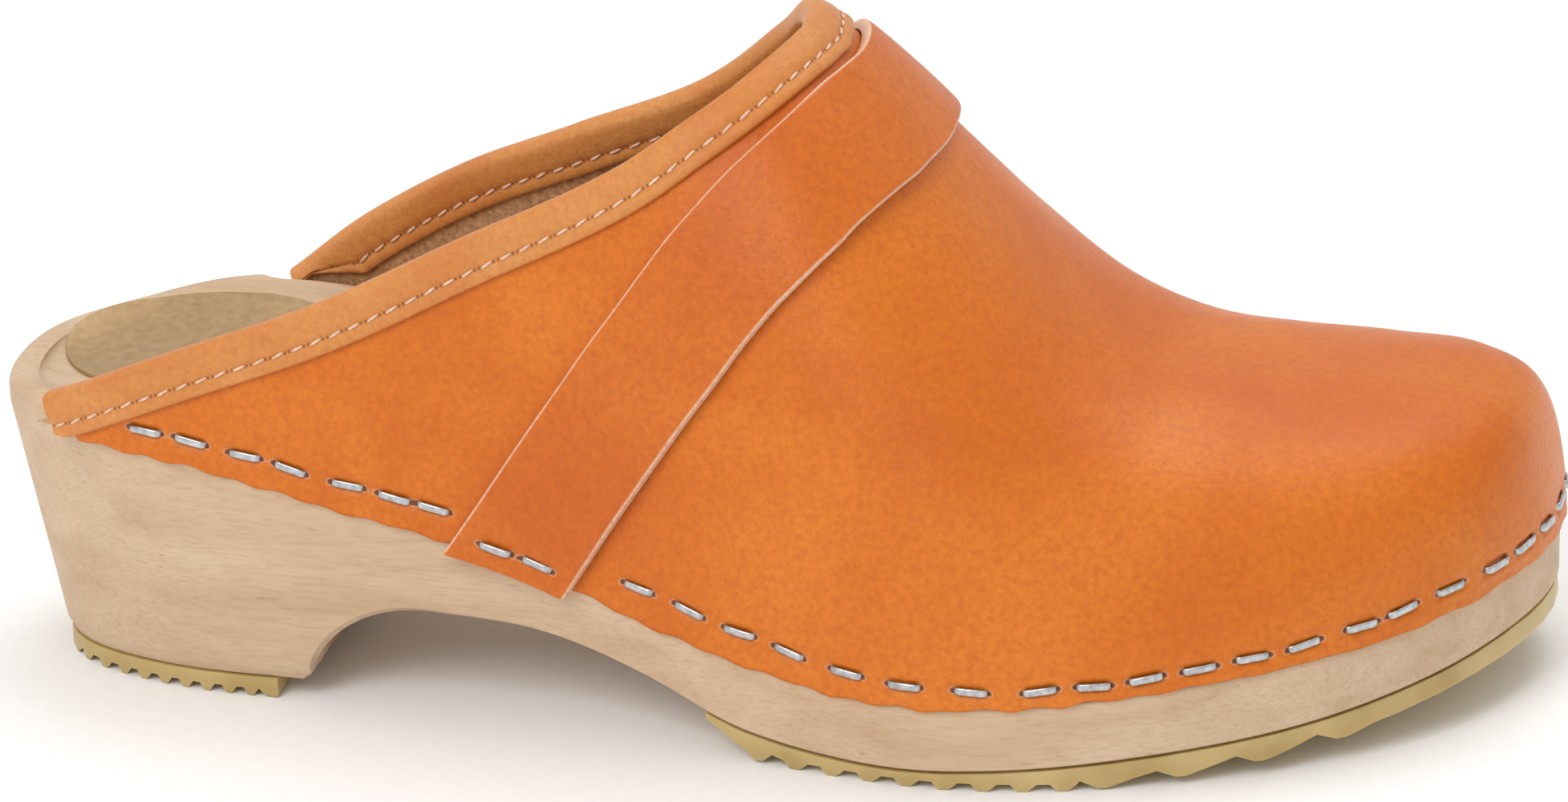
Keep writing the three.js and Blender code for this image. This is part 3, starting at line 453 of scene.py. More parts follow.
turn = np.linspace(0, 2 * math.pi, 73)[None, :]
reach = np.r_[np.linspace(0, 1, 13), 1.0, 1.0][:, None]
lx, ly = 0.5 * label_length * reach * np.cos(turn), 0.5 * label_width * reach * np.sin(turn)
px = label_centre[0] + lx * math.cos(label_turn) - ly * math.sin(label_turn)
py = label_centre[1] + lx * math.sin(label_turn) + ly * math.cos(label_turn)
seat = footbed_at(px, py)
lift = np.r_[np.full(12, play + label_thickness), play + 0.85 * label_thickness, play, 0.1]
seat[..., 2] += lift[:, None]
bm, _, _ = laid_grid(14, 72, seat)
bmesh.ops.remove_doubles(bm, verts=bm.verts, dist=2e-6)
soften(bm)
piece("heel_seat_label", bm, [foil], "label_leather", "heel_label")


# ---------------------------------------------------------------- leather upper
# One piece of thick waxed vegetable-tanned leather, 2.2 mm, moulded wet over a last and stapled
# round its lower edge: smooth grain outside, rough suede inside, a raw flesh edge all round.
last_station = smooth_rows([
    (0.03, 0.03, 0.62, 2.2), (0.235, 0.235, 0.86, 2.2), (0.39, 0.39, 1.0, 2.2),
    (0.49, 0.49, 1.035, 2.2), (0.553, 0.553, 0.998, 2.2), (0.59, 0.59, 0.918, 2.2),
    (0.628, 0.628, 0.803, 2.2), (0.67, 0.668, 0.672, 2.25), (0.72, 0.717, 0.53, 2.3),
    (0.77, 0.768, 0.437, 2.4), (0.825, 0.825, 0.387, 2.5), (0.88, 0.888, 0.355, 2.6),
    (0.93, 0.947, 0.32, 2.7), (0.965, 0.984, 0.245, 2.6), (0.987, 0.997, 0.13, 2.3),
    (0.998, 1.0, 0, 2.1)])
last_end = 0.998


def surface_point(u, phi):
    """The outside of the upper: u runs along the sole, phi over the foot from the outer edge."""
    u, phi = np.broadcast_arrays(np.asarray(u, float), np.asarray(phi, float))
    ridge_share, rise, fullness = np.moveaxis(last_station(u), -1, 0)
    x = u * sole_length
    base = {}
    for side in (-1, 1):
        tail = tail_share[side] * sole_length
        proud = leather_proud + (1 - smoothstep(x, tail + 4, tail + 34)) * (binding_leather + play)
        base[side] = inset_from(x, side, -proud, leather_edge(x))
    middle = 0.5 * (base[-1] + base[1])
    ridge = np.stack([
        ridge_share * sole_length + leather_proud * smoothstep(ridge_share, 0.9, 1),
        middle[..., 1],
        leather_edge(ridge_share * sole_length) + rise * upper_rise], -1)
    up = ridge - middle
    turn = np.clip(phi, 0, math.pi)
    c, s = np.abs(np.cos(turn)), np.maximum(np.sin(turn), 0)
    reach = (c**fullness + s**fullness) ** (-1 / fullness)
    across = np.where((turn < math.pi / 2)[..., None], base[-1], base[1]) - middle
    at = middle + across * (reach * c)[..., None] + up * (reach * s)[..., None]
    past = np.minimum(phi, 0) + np.minimum(math.pi - phi, 0)
    return at + up * past[..., None]


def tangents(u, phi):
    h = 1e-3
    ahead = np.minimum(u + h, last_end)
    along = (surface_point(ahead, phi) - surface_point(ahead - 2 * h, phi)) / (2 * h)
    over = (surface_point(u, phi + h) - surface_point(u, phi - h)) / (2 * h)
    return along, over


def unit(v):
    return v / np.maximum(np.linalg.norm(v, axis=-1, keepdims=True), 1e-12)


def outward(u, phi):
    along, over = tangents(u, phi)
    return -unit(np.cross(over, along))


def skin(u, phi, offset):
    """A point off the surface; positive offsets lie outside the foot."""
    return surface_point(u, phi) + outward(u, phi) * np.asarray(offset, float)[..., None]


outer_tail = inner_tail = 5.0
outer_line = one([
    (outer_tail, tail_share[-1]), (13.2, 0.134), (23.3, 0.242), (30.8, 0.318), (38, 0.386),
    (46, 0.443), (54, 0.482), (62, 0.511), (70, 0.5295), (80, 0.5425), (90, 0.548)])
inner_line = one([
    (inner_tail, tail_share[1]), (14.9, 0.206), (23.8, 0.276), (31.4, 0.355),
    (40.8, 0.441), (54.4, 0.501), (70, 0.531), (80, 0.5425), (90, 0.548)])
outer_foot, inner_foot = tail_share[-1] + 0.021, tail_share[1] + 0.016


def topline(phi):
    """The cut edge of the upper at an angle over the foot."""
    degrees = np.degrees(phi)
    back = 180 - degrees
    outer = np.where(degrees < outer_tail,
                     outer_foot + (tail_share[-1] - outer_foot) * degrees / outer_tail, outer_line(degrees))
    inner = np.where(back < inner_tail,
                     inner_foot + (tail_share[1] - inner_foot) * back / inner_tail, inner_line(back))
    return np.where(degrees <= 90, outer, inner)


def column_turn(column):
    """The angle at which a column of the upper crosses the topline; the last ones run down the tails."""
    back = np.minimum(column, 26 - column)
    tail = math.radians(5)
    share = np.maximum(0, (back - 1) / 12) ** 1.25
    turn = np.where(back < 1, tail * back, tail + (math.pi / 2 - tail) * share)
    return np.where(column <= 13, turn, math.pi - turn)


# The staples' places: middle of the crown, along the crown, out of the wood and across the wire.
def staple_frame(node):
    co = np.array([v.co[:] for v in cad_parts[node].data.vertices]) * 1000 - row_shift
    co = np.unique(np.round(co, 3), axis=0)
    middle = co.mean(0)
    legs, crown, wire = np.linalg.svd(co - middle)[2]
    height = (co - middle) @ legs
    if np.median(height) < 0:
        legs, height = -legs, -height
    return co[height > 0].mean(0), crown, legs, wire


edge_nodes = sorted(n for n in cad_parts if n.startswith("staple_"))
strap_nodes = sorted(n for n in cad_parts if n.startswith("strap_staple_"))
edge_frames = np.array([staple_frame(n) for n in edge_nodes])
strap_frames = np.array([staple_frame(n) for n in strap_nodes])


def pressed(points, normals, frames, depth):
    """Pulls a leather surface in under each staple and lets it swell beside it."""
    flat = points.reshape(-1, 3)
    far = np.linalg.norm(flat[:, None, :] - frames[None, :, 0], axis=2)
    near = far.argmin(1)
    off = flat - frames[near, 0]
    s = np.einsum("ij,ij->i", off, frames[near, 1]).reshape(points.shape[:2])
    t = np.einsum("ij,ij->i", off, frames[near, 3]).reshape(points.shape[:2])
    d = np.einsum("ij,ij->i", off, frames[near, 2]).reshape(points.shape[:2])
    close = (np.abs(d) < 4).astype(float)
    run = np.maximum(np.abs(s) - 2.3, 0)
    dip = np.exp(-((run / 1.1) ** 2) - (t / 1.25) ** 2)
    lip = np.exp(-((np.maximum(np.abs(s) - 2.0, 0) / 1.2) ** 2) - ((np.abs(t) - 1.7) / 0.7) ** 2)
    move = close * (0.22 * lip - depth * dip)
    field = np.stack([np.clip(np.abs(s), 0, 20), np.clip(np.abs(t), 0, 20), 20 * (1 - close)], -1)
    return points + normals * move[..., None], field


hoops, columns = 300, 118
edge_cells = 20
j = np.r_[np.linspace(0, 1.1, edge_cells + 1)[:-1], np.linspace(1.1, 24.9, columns - 2 * edge_cells + 1),
          np.linspace(24.9, 26, edge_cells + 1)[1:]]
along = 1 - (1 - np.linspace(0, 1, hoops + 1)) ** 1.3
column = column_turn(j)[None, :]
phi = column + (math.pi * j[None, :] / 26 - column) * along[:, None]
u = topline(column) + (last_end - topline(column)) * along[:, None]
grain_side = surface_point(u, phi)
grain_out = outward(u, phi)
height = grain_side[..., 2] - leather_edge(grain_side[..., 0])
edge_swing = np.exp(-np.maximum(height, 0) / 2.2)
nearest = np.linalg.norm(grain_side.reshape(-1, 1, 3) - edge_frames[None, :, 0], axis=2).min(1)
between = smoothstep(nearest.reshape(height.shape), 2.6, 5.2)
wander = np.sin(grain_side[..., 0] * 0.83 + 1.3) + 0.6 * np.sin(grain_side[..., 0] * 0.37)
grain_side = grain_side + grain_out * (edge_swing * (0.22 * between - 0.05))[..., None]
grain_side[..., 2] += edge_swing * (0.22 * wander - 0.25 * between)
grain_side, staple_field = pressed(grain_side, grain_out, edge_frames, 0.75)


def waxed_leather(name, tones, gloss, grain_mm, marks=None):
    """Vegetable-tanned, waxed leather: cloudy colour, fine mottle, pebbled grain and a soft gloss."""
    material, tree = empty_material(name)
    place = add(tree, "TexCoord").outputs["Object"]
    cloud = add(tree, "TexNoise", {"Vector": place, "Scale": every(38.46), "Detail": 3.0, "Roughness": 0.5,
                                   "Distortion": 0.6})
    tone = add(tree, "ValToRGB", {"Fac": cloud.outputs["Fac"]},
               ramp=[(0.28, tones[0]), (0.74, tones[2]), (0.5, tones[1])])
    mottle = add(tree, "TexNoise", {"Vector": place, "Scale": every(1.176), "Detail": 4.0, "Roughness": 0.65})
    mottle_mask = add(tree, "MapRange", {"Value": mottle.outputs["Fac"], "From Min": 0.38, "From Max": 0.66,
                                         "To Max": 0.5})
    colour = add(tree, "Mix", {0: mottle_mask.outputs[0], 6: tone.outputs[0], 7: linear(tones[3])},
                 data_type="RGBA").outputs[2]
    cells = add(tree, "TexVoronoi", {"Vector": place, "Scale": every(grain_mm)}, feature="SMOOTH_F1")
    fine = add(tree, "TexNoise", {"Vector": place, "Scale": every(0.4167), "Detail": 2.0})
    pebble = add(tree, "Math", {0: cells.outputs["Distance"], 1: fine.outputs["Fac"]}, operation="ADD")
    relief = add(tree, "Bump", {"Height": pebble.outputs[0], "Strength": 0.42, "Distance": 0.00018})
    normal = relief.outputs[0]
    if marks:
        colour, normal = marks(tree, colour, normal)
    gloss_cloud = add(tree, "TexNoise", {"Vector": place, "Scale": every(16.67), "Detail": 4.0})
    rough = add(tree, "MapRange", {"Value": gloss_cloud.outputs["Fac"], "From Min": 0.3, "From Max": 0.7,
                                   "To Min": gloss - 0.05, "To Max": gloss + 0.07})
    surface(tree, {"Base Color": colour, "Roughness": rough.outputs[0], "Normal": normal,
                   "Specular IOR Level": 0.30, "Coat Weight": 0.04, "Coat Roughness": 0.42})
    return material


def staple_marks(tree, colour, normal):
    """Round each leg the leather is torn open: a pale pinkish lip, and a dark brown in the tear that is
    painted shade.
    """
    field = add(tree, "Attribute", attribute_name="staple_place").outputs["Vector"]
    split = add(tree, "SeparateXYZ", {"Vector": field})
    wide = add(tree, "Math", {0: split.outputs[0], 1: 2.75}, operation="SUBTRACT")
    wide = add(tree, "Math", {0: wide.outputs[0]}, operation="ABSOLUTE")
    wide = add(tree, "Math", {0: wide.outputs[0], 1: 0.75}, operation="MULTIPLY")
    far = add(tree, "CombineXYZ", {0: wide.outputs[0], 1: split.outputs[1], 2: split.outputs[2]})
    far = add(tree, "VectorMath", {0: far.outputs[0]}, operation="LENGTH")
    # Painted shade: a dark brown where the leg goes in stands in for the shadow in the tear.
    slit_shade = add(tree, "MapRange", {"Value": far.outputs["Value"], "From Min": 0.42, "From Max": 0.58,
                                  "To Min": 0.85, "To Max": 0.0})
    lip = add(tree, "MapRange", {"Value": far.outputs["Value"], "From Min": 0.6, "From Max": 0.85,
                                 "To Min": 0.5, "To Max": 0.0})
    colour = add(tree, "Mix", {0: lip.outputs[0], 6: colour, 7: linear("#D9A07C")},
                 data_type="RGBA").outputs[2]
    colour = add(tree, "Mix", {0: slit_shade.outputs[0], 6: colour, 7: linear("#4A220E")},
                 data_type="RGBA").outputs[2]
    return colour, normal


upper_leather = waxed_leather("waxed_tan_leather", ("#C7600F", "#D16E14", "#DA7C22", "#B4550F"), 0.40, 1.1,
                              staple_marks)

# Raw cut edge: pale fibres, a little pink.
flesh, tree = empty_material("raw_leather_edge")
place = add(tree, "TexCoord").outputs["Object"]
fibre = add(tree, "TexNoise", {"Vector": place, "Scale": every(0.6667), "Detail": 4.0, "Roughness": 0.7})
tone = add(tree, "ValToRGB", {"Fac": fibre.outputs["Fac"]}, ramp=[(0.3, "#C98F66"), (0.68, "#EBC8AA")])
relief = add(tree, "Bump", {"Height": fibre.outputs["Fac"], "Strength": 0.5, "Distance": 0.0002})
surface(tree, {"Base Color": tone.outputs[0], "Roughness": 0.85, "Normal": relief.outputs[0]})

# Suede side: brown, short fuzzy nap.
suede, tree = empty_material("rough_suede_lining_side")
place = add(tree, "TexCoord").outputs["Object"]
nap = add(tree, "TexNoise", {"Vector": place, "Scale": every(0.8696), "Detail": 5.0, "Roughness": 0.75})
tone = add(tree, "ValToRGB", {"Fac": nap.outputs["Fac"]},
           ramp=[(0.32, "#8A5A35"), (0.7, "#D9AB7E"), (0.5, "#B98659")])
relief = add(tree, "Bump", {"Height": nap.outputs["Fac"], "Strength": 0.6, "Distance": 0.0004})
surface(tree, {"Base Color": tone.outputs[0], "Roughness": 0.95, "Normal": relief.outputs[0],
               "Sheen Weight": 0.35, "Sheen Roughness": 0.5})

bm, row, col = laid_grid(hoops, columns, grain_side)
staple_values = staple_field[row, col]
face_out(bm)
soften(bm, math.radians(60))
upper = piece("upper", bm, [upper_leather, suede, flesh], "upper_leather", "leather_upper")
values = upper.data.attributes.new("staple_place", "FLOAT_VECTOR", "POINT")
values.data.foreach_set("vector", staple_values.astype(np.float32).ravel())
wall = thicken(upper, leather)
wall.material_offset = 1
wall.material_offset_rim = 2


# ---------------------------------------------------------------- toe stiffener
# A puff of impregnated cloth, 1.2 mm thick, moulded warm to the last and glued inside the toe box
# to keep its shape. It lies out of sight, so its extent and thickness are assumed, as usual ones.
cloth, tree = empty_material("impregnated_toe_puff_cloth")
place = add(tree, "TexCoord").outputs["Object"]
weave = add(tree, "TexNoise", {"Vector": place, "Scale": every(1.111), "Detail": 3.0})
tone = add(tree, "ValToRGB", {"Fac": weave.outputs["Fac"]}, ramp=[(0.3, "#BDB4A2"), (0.7, "#DAD3C4")])
relief = add(tree, "Bump", {"Height": weave.outputs["Fac"], "Strength": 0.3, "Distance": 0.0002})
surface(tree, {"Base Color": tone.outputs[0], "Roughness": 0.8, "Normal": relief.outputs[0]})

puff_thickness = 1.2
puff_rows, puff_columns = 40, 60
puff_u = np.linspace(0.80, 0.965, puff_rows + 1)
starts = {}
for side in (-1, 1):
    low, high = np.zeros(puff_rows + 1), np.full(puff_rows + 1, math.pi / 2)
    for _ in range(22):
        half = 0.5 * (low + high)
        at = skin(puff_u, half if side < 0 else math.pi - half,
                  np.full(puff_rows + 1, -(leather + play + puff_thickness)))
        under = at[:, 2] < sole_top(np.minimum(at[:, 0], sole_length)) + rim_crown + 3 * play
        low, high = np.where(under, half, low), np.where(under, high, half)
    starts[side] = high if side < 0 else math.pi - high
share = np.linspace(0, 1, puff_columns + 1)[None, :]
phi = starts[-1][:, None] + (starts[1] - starts[-1])[:, None] * share
puff = skin(puff_u[:, None], phi, np.full(phi.shape, -(leather + play)))
bm, _, _ = laid_grid(puff_rows, puff_columns, puff)
face_out(bm)
soften(bm)
toe_puff = piece("toe_puff", bm, [cloth], "toe_stiffener", "toe_stiffener")
thicken(toe_puff, puff_thickness)


# ---------------------------------------------------------------- topline binding
# A strip of soft glove leather folded over the cut edge of the upper and sewn through all three
# layers, 2.4 mm above its lower edge, with small puckers between the stitches.
binding_width, stitch_pitch, stitch_line = 6.6, 3.6, 4.2


def between_stitches(tree, colour, normal):
    """Needle holes painted dark brown as shade, and puckers along the seam, by millimetres along and across
    the strip.
    """
    flat = add(tree, "UVMap", uv_map="flat_mm").outputs[0]
    split = add(tree, "SeparateXYZ", {"Vector": flat})
    run = add(tree, "Math", {0: split.outputs[0], 1: 1 / stitch_pitch}, operation="MULTIPLY")
    phase = add(tree, "Math", {0: run.outputs[0]}, operation="FRACT")
    off = add(tree, "Math", {0: phase.outputs[0], 1: 0.5}, operation="SUBTRACT")
    off = add(tree, "Math", {0: off.outputs[0]}, operation="ABSOLUTE")
    off = add(tree, "Math", {0: off.outputs[0], 1: stitch_pitch}, operation="MULTIPLY")
    hole_x = add(tree, "Math", {0: off.outputs[0], 1: 1.36}, operation="SUBTRACT")
    hole_y = add(tree, "Math", {0: split.outputs[1]}, operation="ABSOLUTE")
    hole_y = add(tree, "Math", {0: hole_y.outputs[0], 1: stitch_line}, operation="SUBTRACT")
    far = add(tree, "CombineXYZ", {0: hole_x.outputs[0], 1: hole_y.outputs[0]})
    far = add(tree, "VectorMath", {0: far.outputs[0]}, operation="LENGTH")
    # Painted shade: the needle holes are coloured dark brown for the shadow in them.
    needle_hole_shade = add(tree, "MapRange", {"Value": far.outputs["Value"], "From Min": 0.16, "From Max": 0.42,
                                  "To Min": 0.75, "To Max": 0.0})
    colour = add(tree, "Mix", {0: needle_hole_shade.outputs[0], 6: colour, 7: linear("#7F3F17")},
                 data_type="RGBA").outputs[2]
    wave = add(tree, "Math", {0: phase.outputs[0], 1: 2 * math.pi}, operation="MULTIPLY")
    wave = add(tree, "Math", {0: wave.outputs[0]}, operation="COSINE")
    seam_side = add(tree, "Math", {0: hole_y.outputs[0]}, operation="ABSOLUTE")
    fade = add(tree, "MapRange", {"Value": seam_side.outputs[0], "From Min": 0.2, "From Max": 2.6,
                                  "To Min": 1.0, "To Max": 0.0})
    pucker = add(tree, "Math", {0: wave.outputs[0], 1: fade.outputs[0]}, operation="MULTIPLY")
    creases = add(tree, "Mapping", {"Vector": flat, "Scale": (1.0, 0.22, 1.0)})
    wrinkle = add(tree, "TexNoise", {"Vector": creases.outputs[0], "Scale": 1.3, "Detail": 3.0,
                                     "Roughness": 0.6})
    wrinkle = add(tree, "Math", {0: wrinkle.outputs["Fac"], 1: 1.1}, operation="MULTIPLY")
    height = add(tree, "Math", {0: pucker.outputs[0], 1: -0.35}, operation="MULTIPLY")
    height = add(tree, "Math", {0: height.outputs[0], 1: wrinkle.outputs[0]}, operation="ADD")
    relief = add(tree, "Bump", {"Height": height.outputs[0], "Normal": normal, "Strength": 0.5,
                                "Distance": 0.00035})
    return colour, relief.outputs[0]


binding_skin = waxed_leather("soft_glove_leather_binding", ("#C67838", "#D08846", "#D8985A", "#B96C30"),
                             0.44, 0.75, between_stitches)

binding_rows = 900
column = np.linspace(1, 25, binding_rows + 1)
phi = column_turn(column)
start, end = column_turn(np.array(1.0)), column_turn(np.array(25.0))
before, after = np.maximum(phi - 0.01, start), np.minimum(phi + 0.01, end)
run = unit(surface_point(topline(after), after) - surface_point(topline(before), before))
kernel = np.ones(9) / 9
padded = [np.pad(run[:, k], 4, mode="edge") for k in range(3)]
run = unit(np.stack([np.convolve(line, kernel, mode="valid") for line in padded], -1))
down = unit(np.cross(run, outward(topline(phi), phi)))
stride, reach_steps = 0.4, 19
places = [(topline(phi), phi)]
for _ in range(reach_steps):
    u, turn = places[-1]
    along, over = tangents(u, turn)
    aa, ab, bb = (np.einsum("ij,ij->i", p, q) for p, q in ((along, along), (along, over), (over, over)))
    a, b = np.einsum("ij,ij->i", down, along) * stride, np.einsum("ij,ij->i", down, over) * stride
    area = aa * bb - ab * ab
    places.append((u + (bb * a - ab * b) / area,
                   np.clip(turn + (aa * b - ab * a) / area, 0.002, math.pi - 0.002)))
walk_u, walk_phi = (np.array([p[k] for p in places]) for k in (0, 1))


def on_binding(distance, offset):
    """Points of the binding at a distance below the topline and an offset from the upper's skin."""
    distance = np.broadcast_to(np.asarray(distance, float), phi.shape)
    at = np.clip(distance, 0, stride * reach_steps) / stride
    k = np.minimum(at.astype(int), reach_steps - 1)
    part, n = at - k, np.arange(len(phi))
    u = walk_u[k, n] * (1 - part) + walk_u[k + 1, n] * part
    turn = walk_phi[k, n] * (1 - part) + walk_phi[k + 1, n] * part
    points = skin(u, turn, np.broadcast_to(np.asarray(offset, float), phi.shape))
    return points + down * np.minimum(distance, 0)[:, None]


lining_play = 0.55
inner_face = -(leather + lining_play + binding_leather)
corner = on_binding(0.0, inner_face)
hand = np.where(phi < math.pi / 2, -1, 1)
rim_z = np.where(hand < 0, rim_height(corner[:, 0], -1), rim_height(corner[:, 0], 1))
trim = np.minimum(1, np.maximum(corner[:, 2] - rim_z - play, 0.8) * 1.1 / binding_width)
outside = [(6.6, 0.25), (6.6, 0.7), (6.52, 1.0), (6.3, 1.2), (5.9, 1.32), (5.4, 1.36), (4.9, 1.28),
           (4.5, 1.1), (4.2, 1.0), (3.9, 1.1), (3.6, 1.28), (3.2, 1.4), (2.7, 1.5), (2.2, 1.52),
           (1.2, 1.5), (0.4, 1.42)]
fold_turns = np.radians([18, 36, 54, 72, 90, 108, 126, 144, 162])
fold = [(-1.45 * math.sin(t), -1.1 + 2.5 * math.cos(t)) for t in fold_turns]
inside = [(d, -leather - o) for d, o in outside[::-1]]
back = [(6.5, -leather - 0.12), (3.5, -leather - 0.12), (0.0, -leather - 0.12), (-0.2, -1.1), (0.0, 0.12),
        (3.5, 0.12), (6.5, 0.12)]
profile = outside + fold + inside + back
loops = []
for distance, offset in profile + profile[:1]:
    shrink = trim if offset < -leather and distance > 0 else 1.0
    loops.append(on_binding(distance * shrink, offset))
strip = np.moveaxis(np.array(loops), 0, 1)
seam_points = on_binding(stitch_line, 1.0)
seam_run = np.r_[0, np.cumsum(np.linalg.norm(np.diff(seam_points, axis=0), axis=1))]
around = np.array([d if o > -1.1 else -d for d, o in profile + profile[:1]])
flat_mm = np.stack(np.broadcast_arrays(seam_run[:, None], around[None, :]), -1)
bm, _, _ = laid_grid(binding_rows, len(profile), strip, flat_mm)
close_up(bm, 1e-7, 50)
piece("binding", bm, [binding_skin], "binding_leather", "topline_binding")

# The seam: waxed polyester thread, pale pinkish grey, each stitch a little slanted.
thread, tree = empty_material("waxed_polyester_thread")
place = add(tree, "TexCoord").outputs["Object"]
ply = add(tree, "TexNoise", {"Vector": place, "Scale": every(0.4), "Detail": 2.0})
tone = add(tree, "ValToRGB", {"Fac": ply.outputs["Fac"]}, ramp=[(0.3, "#CFA486"), (0.7, "#EFCFB6")])
surface(tree, {"Base Color": tone.outputs[0], "Roughness": 0.55})


def seam(name, height, distance, inner):
    """A row of stitches along the strip, each a short rounded strand."""
    line = on_binding(distance, height)
    normals = outward(topline(phi), phi) * (-1 if inner else 1)
    count = int((seam_run[-1] - 3) / stitch_pitch)
    bm = bmesh.new()
    for k in range(count):
        middle = (k + 0.5) * stitch_pitch
        if inner and np.interp(middle, seam_run, trim) < 0.98:
            continue
        at, ahead = (np.array([np.interp(middle + d, seam_run, line[:, m]) for m in range(3)])
                     for d in (-0.6, 0.6))
        out = unit(np.array([np.interp(middle, seam_run, normals[:, m]) for m in range(3)]))
        tangent = unit(ahead - at)
        side = np.cross(out, tangent)
        slant = math.radians(9 + 3 * math.sin(2.3 * k))
        tangent, side = (tangent * math.cos(slant) + side * math.sin(slant),
                         side * math.cos(slant) - tangent * math.sin(slant))
        centre = 0.5 * (at + ahead)
        made = bmesh.ops.create_uvsphere(bm, u_segments=7, v_segments=6, radius=1.0)["verts"]
        for v in made:
            x, y, z = v.co
            bow = -0.16 * z * z
            p = centre + tangent * (1.22 * z) + side * (0.27 * x) + out * (0.24 * y + 0.12 + bow)
            v.co = placed(p)
    for face in bm.faces:
        face.smooth = True
    bmesh.ops.recalc_face_normals(bm, faces=bm.faces)
    return piece(name, bm, [thread], "binding_leather")


seam("seam_outside", 1.1, stitch_line, False)
seam("seam_inside", inner_face + 0.35, stitch_line, True)


# ---------------------------------------------------------------- instep strap
# A strap of the same leather cut to 20.5 mm, laid over the instep and stapled to the wood at both
# ends. Its grain is a little redder and its cut edges are left raw.
strap_width, strap_overhang = 20.5, 1.5
strap_line = one([
    (-2, 0.357), (10, 0.402), (22, 0.449), (30, 0.480), (38, 0.509), (46, 0.5355), (54, 0.5575),
    (62, 0.5745), (70, 0.586), (78, 0.5935), (90, 0.5985), (102, 0.595), (112, 0.586), (122, 0.571),
    (132, 0.548), (144, 0.512), (161, 0.450), (182, 0.372)])


def raw_edges(tree, colour, normal):
    """Pale cut edges along both sides of the strap, besides the marks of its staples."""
    colour, normal = staple_marks(tree, colour, normal)
    flat = add(tree, "UVMap", uv_map="flat_mm").outputs[0]
    split = add(tree, "SeparateXYZ", {"Vector": flat})
    off = add(tree, "Math", {0: split.outputs[1]}, operation="ABSOLUTE")
    raw = add(tree, "MapRange", {"Value": off.outputs[0], "From Min": 0.5 * strap_width - 0.50,
                                 "From Max": 0.5 * strap_width - 0.15})
    place = add(tree, "TexCoord").outputs["Object"]
    fibre = add(tree, "TexNoise", {"Vector": place, "Scale": every(0.6667), "Detail": 4.0, "Roughness": 0.7})
    pale = add(tree, "ValToRGB", {"Fac": fibre.outputs["Fac"]}, ramp=[(0.3, "#D19A72"), (0.68, "#EFCDB2")])
    colour = add(tree, "Mix", {0: raw.outputs[0], 6: colour, 7: pale.outputs[0]}, data_type="RGBA").outputs[2]
    return colour, normal


strap_skin = waxed_leather("waxed_tan_strap_leather", ("#C25B12", "#CC6818", "#D57624", "#AE5011"), 0.42,
                           1.0, raw_edges)
strap_end = strap_overhang / upper_rise
strap_rows = 300
phi_s = np.linspace(-strap_end, math.pi + strap_end, strap_rows + 1)


def line(angle):
    """The strap's centre line at an angle over the foot."""
    return strap_line(np.degrees(angle))


ahead_s, behind_s = phi_s + 0.01, phi_s - 0.01
run_s = unit(surface_point(line(ahead_s), ahead_s) - surface_point(line(behind_s), behind_s))
along_s, _ = tangents(line(phi_s), phi_s)
slant_s = np.linalg.norm(np.cross(along_s, run_s), axis=1)
half = 0.5 * strap_width
top_z, rest_z = 2.5, 0.35
cut = [(-half, rest_z), (-half, 1.2), (-half, 2.05), (-half + 0.08, 2.3), (-half + 0.3, 2.45),
       (-half + 0.8, top_z)]
cut += [(y, top_z) for y in np.linspace(-half + 1.6, half - 1.6, 15)]
cut += [(-y, z) for y, z in cut[:6][::-1]]
cut += [(y, rest_z) for y in np.linspace(half - 2, -half + 2, 6)]
rows = []
for y, z in cut + cut[:1]:
    rows.append(skin(line(phi_s) + y / slant_s, phi_s, np.full(phi_s.shape, z)))
band = np.moveaxis(np.array(rows), 0, 1)
band_out = outward(line(phi_s), phi_s)[:, None, :] * np.ones((1, band.shape[1], 1))
top_only = np.array([1.0 if z > 2.2 else 0.0 for _, z in cut + cut[:1]])[None, :]
moved, strap_field = pressed(band, band_out, strap_frames, 0.7)
band = band + (moved - band) * top_only[..., None]
strap_run = np.r_[0, np.cumsum(np.linalg.norm(np.diff(band[:, 12], axis=0), axis=1))]
across_mm = np.array([y + math.copysign(max(0.0, 2.3 - z) * (abs(y) > half - 0.1), y)
                      for y, z in cut + cut[:1]])
flat_mm = np.stack(np.broadcast_arrays(strap_run[:, None], across_mm[None, :]), -1)
bm, row, col = laid_grid(strap_rows, len(cut), band, flat_mm)
layer = bm.verts.layers.float_vector.new("staple_place")
for vertex in bm.verts:
    vertex[layer] = strap_field[row[vertex.index], col[vertex.index]]
close_up(bm, 1e-7, 50)
piece("strap", bm, [strap_skin], "strap_leather", "instep_strap")


# ---------------------------------------------------------------- staples
# Bright galvanised staples of flat wire, 5.8 mm wide, driven by hand round the edge of the upper
# and sunk a little into the leather; two more hold each end of the strap.
steel, tree = empty_material("bright_galvanised_wire")
place = add(tree, "TexCoord").outputs["Object"]
wear = add(tree, "TexNoise", {"Vector": place, "Scale": every(1.111), "Detail": 4.0})
tone = add(tree, "ValToRGB", {"Fac": wear.outputs["Fac"]}, ramp=[(0.3, "#9FA1A2"), (0.7, "#CFD1D2")])
rough = add(tree, "MapRange", {"Value": wear.outputs["Fac"], "From Min": 0.3, "From Max": 0.7,
                               "To Min": 0.24, "To Max": 0.42})
surface(tree, {"Base Color": tone.outputs[0], "Metallic": 1.0, "Roughness": rough.outputs[0]})


